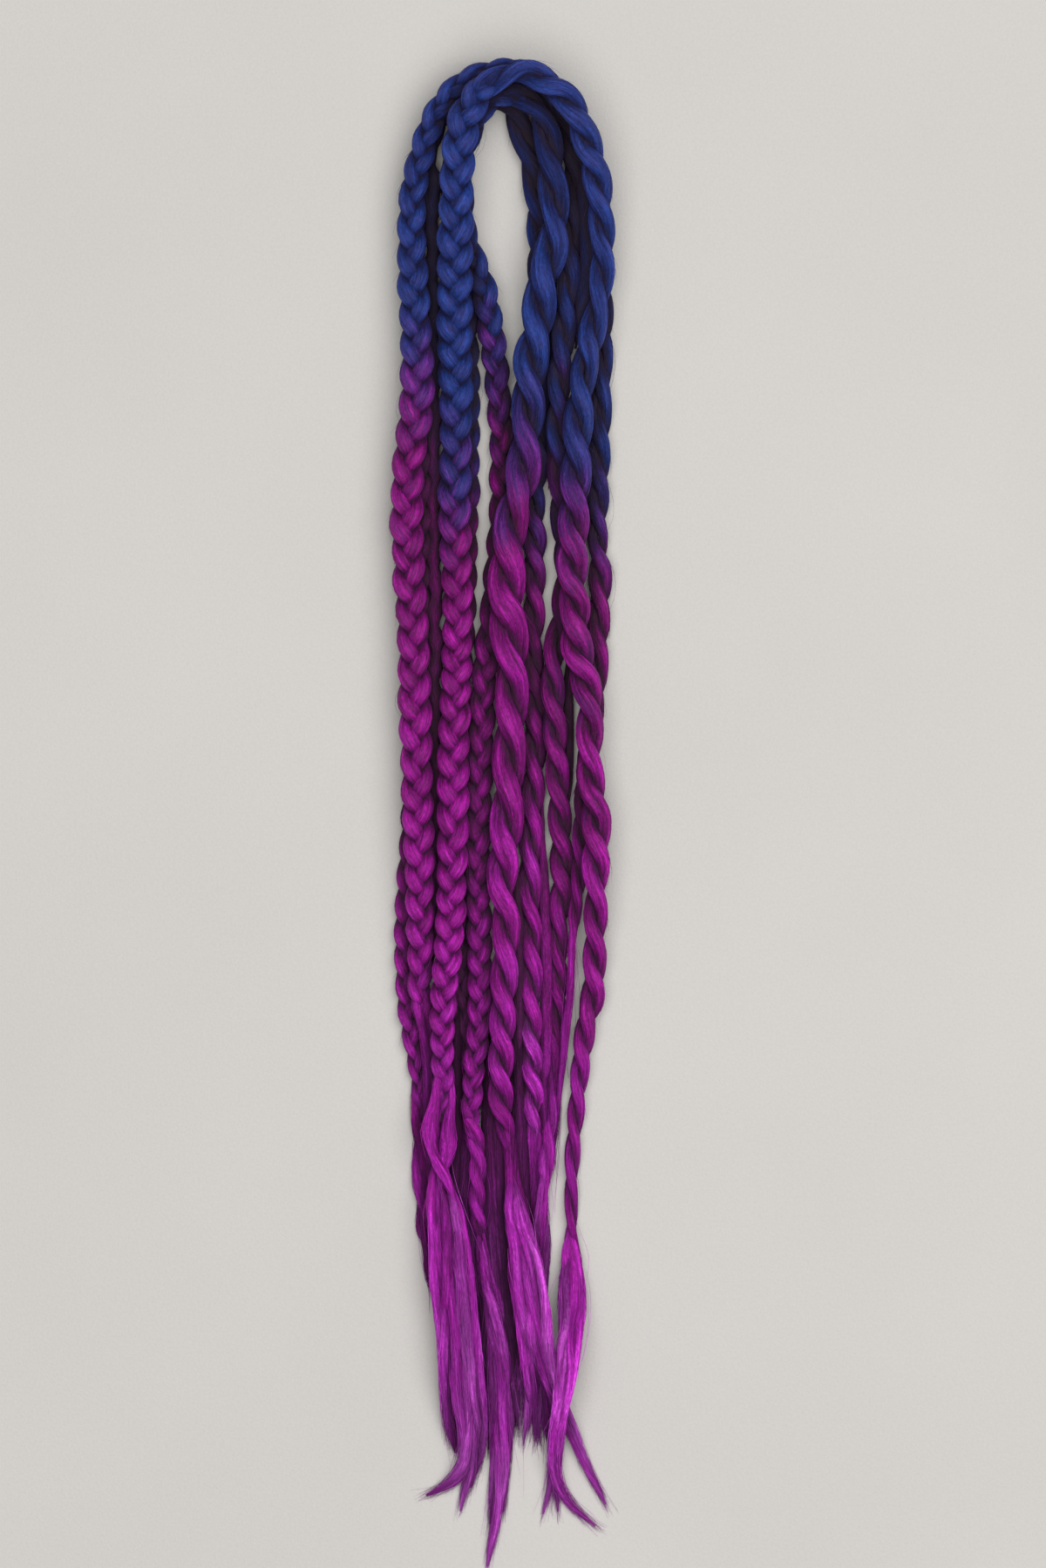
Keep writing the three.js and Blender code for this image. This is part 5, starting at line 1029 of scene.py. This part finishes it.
def hair_material(name, stops, gain, single, waves, relief, shine, shade_grey):
    """Coloured synthetic hair: colour runs along the length, fine streaks and crimps follow the hairs, and a painted
    shade read from an attribute darkens the colour.
    """
    m, nt, bs = nodes_of(name)
    N, L = nt.nodes, nt.links

    def attr(key):
        n = N.new("ShaderNodeAttribute")
        n.attribute_name = key
        return n

    tone, cav, fib = attr("tone").outputs["Fac"], attr("cav").outputs["Fac"], attr("fib").outputs["Vector"]

    def streaks(scale, detail, rough):
        mp = N.new("ShaderNodeMapping")
        mp.inputs["Scale"].default_value = scale
        L.new(fib, mp.inputs["Vector"])
        n = N.new("ShaderNodeTexNoise")
        n.inputs["Scale"].default_value = 1.0
        n.inputs["Detail"].default_value = detail
        n.inputs["Roughness"].default_value = rough
        n.inputs["Distortion"].default_value = 0.5
        L.new(mp.outputs[0], n.inputs["Vector"])
        return n.outputs["Fac"]

    def centred(v, by):
        return math_node(nt, "MULTIPLY", math_node(nt, "SUBTRACT", v, 0.5), by)

    fine = streaks((2.3, 0.24, 1.0), 2.0, 0.6)        # single hairs
    wide = streaks((0.7, 0.05, 1.0), 2.0, 0.5)        # clumps of hairs
    crimp = streaks((1.9, 0.75, 1.0), 2.0, 0.6)       # the short waves of crimped fibre

    mixed = math_node(nt, "ADD", tone, centred(wide, 0.70))
    mixed = math_node(nt, "ADD", mixed, centred(fine, 0.35))
    # tone runs from -0.4 to 2.3: brought to 0..1 for the ramp
    fac = math_node(nt, "MULTIPLY", math_node(nt, "ADD", mixed, 0.4), 1 / 2.7, clamp=True)
    ramp = N.new("ShaderNodeValToRGB")
    ramp.color_ramp.interpolation = "LINEAR"
    el = ramp.color_ramp.elements
    while len(el) > 1:
        el.remove(el[-1])
    place = lambda v: (v + 0.4) / 2.7
    el[0].position, el[0].color = place(stops[0][0]), stops[0][1]
    for pos, col in stops[1:]:
        e = el.new(place(pos))
        e.color = col
    L.new(fac, ramp.inputs[0])

    shade = math_node(nt, "ADD", centred(fine, single), 1.0)
    shade = math_node(nt, "MULTIPLY", shade, math_node(nt, "ADD", centred(wide, 1.5), 1.0))
    shade = math_node(nt, "MULTIPLY", shade, math_node(nt, "ADD", centred(crimp, waves), 1.0))
    shade = math_node(nt, "MAXIMUM", shade, 0.12)
    # painted shade: the painted shade attribute darkens the streaked colour
    painted_dimming = math_node(nt, "ADD", math_node(nt, "MULTIPLY", cav, 0.95), 0.02)
    shade = math_node(nt, "MULTIPLY", math_node(nt, "MULTIPLY", shade, painted_dimming), gain)
    mul = N.new("ShaderNodeMix")
    mul.data_type = "RGBA"
    mul.blend_type = "MULTIPLY"
    mul.inputs["Factor"].default_value = 1.0
    L.new(ramp.outputs[0], mul.inputs[6])
    comb = N.new("ShaderNodeCombineColor")
    for i in range(3):
        L.new(shade, comb.inputs[i])
    L.new(comb.outputs[0], mul.inputs[7])
    # where the painted shade is deepest, a little neutral grey is added to the colour
    grey_in_shade = N.new("ShaderNodeMix")
    grey_in_shade.data_type = "RGBA"
    grey_in_shade.blend_type = "ADD"
    L.new(math_node(nt, "POWER", math_node(nt, "SUBTRACT", 1.0, cav, clamp=True), 3.0), grey_in_shade.inputs["Factor"])
    L.new(mul.outputs[2], grey_in_shade.inputs[6])
    grey_in_shade.inputs[7].default_value = (0.030 * shade_grey, 0.021 * shade_grey, 0.025 * shade_grey, 1.0)
    L.new(grey_in_shade.outputs[2], bs.inputs["Base Color"])

    rough = math_node(nt, "ADD", math_node(nt, "MULTIPLY", fine, 0.25), 0.50)
    L.new(rough, bs.inputs["Roughness"])
    # specular strength follows the painted shade: highlights are kept to the lit crests and weakened in the painted
    # shade
    L.new(math_node(nt, "ADD", math_node(nt, "MULTIPLY", cav, shine), 0.06), bs.inputs["Specular IOR Level"])
    bs.inputs["Specular Tint"].default_value = (0.95, 0.52, 1.0, 1.0)
    bs.inputs["Sheen Weight"].default_value = 0.05
    bs.inputs["Sheen Roughness"].default_value = 0.45
    bs.inputs["Sheen Tint"].default_value = (0.75, 0.40, 1.0, 1.0)

    height = math_node(nt, "ADD", math_node(nt, "MULTIPLY", fine, 0.9), math_node(nt, "MULTIPLY", wide, 0.6))
    height = math_node(nt, "ADD", height, math_node(nt, "MULTIPLY", crimp, 0.35))
    bump = N.new("ShaderNodeBump")
    bump.inputs["Strength"].default_value = relief
    bump.inputs["Distance"].default_value = 0.0008
    L.new(height, bump.inputs["Height"])
    L.new(bump.outputs[0], bs.inputs["Normal"])
    return m


BLUE = srgb(15, 55, 127)
INDIGO = srgb(46, 44, 120)
VIOLET = srgb(94, 31, 124)
MAGENTA = srgb(128, 8, 112)
ORCHID = srgb(160, 12, 148)
PURPLE = srgb(178, 32, 178)
PALE = srgb(198, 86, 204)
STOPS = [(0.08, BLUE), (0.28, INDIGO), (0.58, VIOLET), (0.95, MAGENTA), (1.45, ORCHID), (1.85, PURPLE), (2.25, PALE)]

leg_hair = hair_material("leg_hair", STOPS, 0.84, 1.8, 1.7, 0.8, 0.38, 1.0)
tail_hair = hair_material("tail_hair", STOPS, 1.20, 1.7, 1.4, 0.7, 0.45, 0.4)


def floor_material():
    m, nt, bs = nodes_of("pale_cloth")
    N, L = nt.nodes, nt.links
    co = N.new("ShaderNodeTexCoord").outputs["Object"]

    def noise(scale, detail):
        n = N.new("ShaderNodeTexNoise")
        n.inputs["Scale"].default_value = scale
        n.inputs["Detail"].default_value = detail
        L.new(co, n.inputs["Vector"])
        return n.outputs["Fac"]

    grain = noise(900.0, 3.0)
    cloud = noise(6.0, 4.0)
    v = math_node(nt, "ADD", math_node(nt, "MULTIPLY", grain, 0.10), math_node(nt, "MULTIPLY", cloud, 0.10))
    v = math_node(nt, "ADD", v, 0.90)
    comb = N.new("ShaderNodeCombineColor")
    for i, tint in enumerate((0.640, 0.624, 0.604)):
        L.new(math_node(nt, "MULTIPLY", v, tint), comb.inputs[i])
    L.new(comb.outputs[0], bs.inputs["Base Color"])
    bs.inputs["Roughness"].default_value = 0.95
    bs.inputs["Specular IOR Level"].default_value = 0.1
    bump = N.new("ShaderNodeBump")
    bump.inputs["Strength"].default_value = 0.3
    bump.inputs["Distance"].default_value = 0.0006
    L.new(grain, bump.inputs["Height"])
    L.new(bump.outputs[0], bs.inputs["Normal"])
    return m


# ---------------------------------------------------------------------------------------------------------------
# The hank.
# ---------------------------------------------------------------------------------------------------------------
lines = {k: lock_line(r) for k, r in ROUTES.items()}
settle(lines)
paths = {k: Path(v) for k, v in lines.items()}

pieces = {}
for number in sorted(ROUTES):
    for kind in ("braid", "twist"):
        pieces[f"{kind}_{number}"] = make_leg(f"{kind}_{number}", paths[number])
        tail = f"{kind}_tail_{number}"
        pieces[tail] = make_tail(tail, paths[number], TAILS[tail])
shade, *maps = light_map(pieces.values())
total = 0
for name, g in pieces.items():
    tail = "tail" in name
    # painted shade: the light map's shade, softened for tails and scaled by each piece's lift, is baked into the hair
    # colour
    lift, soft = (TAILS[name] if tail else WORK[name]).get("lift", 1.0), (0.10 if tail else 0.0)
    ob, tris = g.build(name + "_hair", tail_hair if tail else leg_hair, lambda p: lift * (soft + (1 - soft) * shade(p)),
                       1.6 if tail else 1.22)
    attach(ob, "root")
    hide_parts(name)
    total += tris
print("triangles", total)

# ---------------------------------------------------------------------------------------------------------------
# Floor, light and camera.
# ---------------------------------------------------------------------------------------------------------------
me = bpy.data.meshes.new("floor")
half = 3.0
me.from_pydata([(-half, -half, -0.0002), (half, -half, -0.0002), (half, half, -0.0002), (-half, half, -0.0002)], [], [(0, 1, 2, 3)])
floor = bpy.data.objects.new("floor", me)
bpy.context.scene.collection.objects.link(floor)
me.materials.append(floor_material())


def area(name, place, aim, size, power, colour):
    data = bpy.data.lights.new(name, "AREA")
    data.shape = "DISK"
    data.size = size
    data.energy = power
    data.color = colour
    ob = bpy.data.objects.new(name, data)
    ob.location = place
    ob.rotation_mode = "QUATERNION"
    ob.rotation_quaternion = (Vector(aim) - Vector(place)).to_track_quat("-Z", "Y")
    ob.visible_camera = False
    bpy.context.scene.collection.objects.link(ob)
    return ob


area("soft_light", (0.35, 0.12, 2.2), (0, 0, 0), 4.0, 80.0, (1.0, 0.99, 0.975))

world = bpy.data.worlds.new("room")
bpy.context.scene.world = world
world.use_nodes = True
bg = world.node_tree.nodes["Background"]
bg.inputs[0].default_value = (1.0, 0.99, 0.975, 1.0)
bg.inputs[1].default_value = 0.15

cam_data = bpy.data.cameras.new("camera")
cam = bpy.data.objects.new("camera", cam_data)
bpy.context.scene.collection.objects.link(cam)
bpy.context.scene.camera = cam
cam_data.sensor_width = 36.0
cam_data.lens = 300.0
PIXEL = 0.36 * MM
tall = 1799 * PIXEL
cam.location = ((600 - 577) * PIXEL, (934.6 - 899.5) * PIXEL, tall / 2 * cam_data.lens / 18.0 + 0.008)
cam.rotation_euler = (0, 0, 0)
cam_data.clip_start, cam_data.clip_end = 0.05, 20
bpy.context.scene.view_settings.view_transform = "Standard"
bpy.context.scene.view_settings.look = "None"
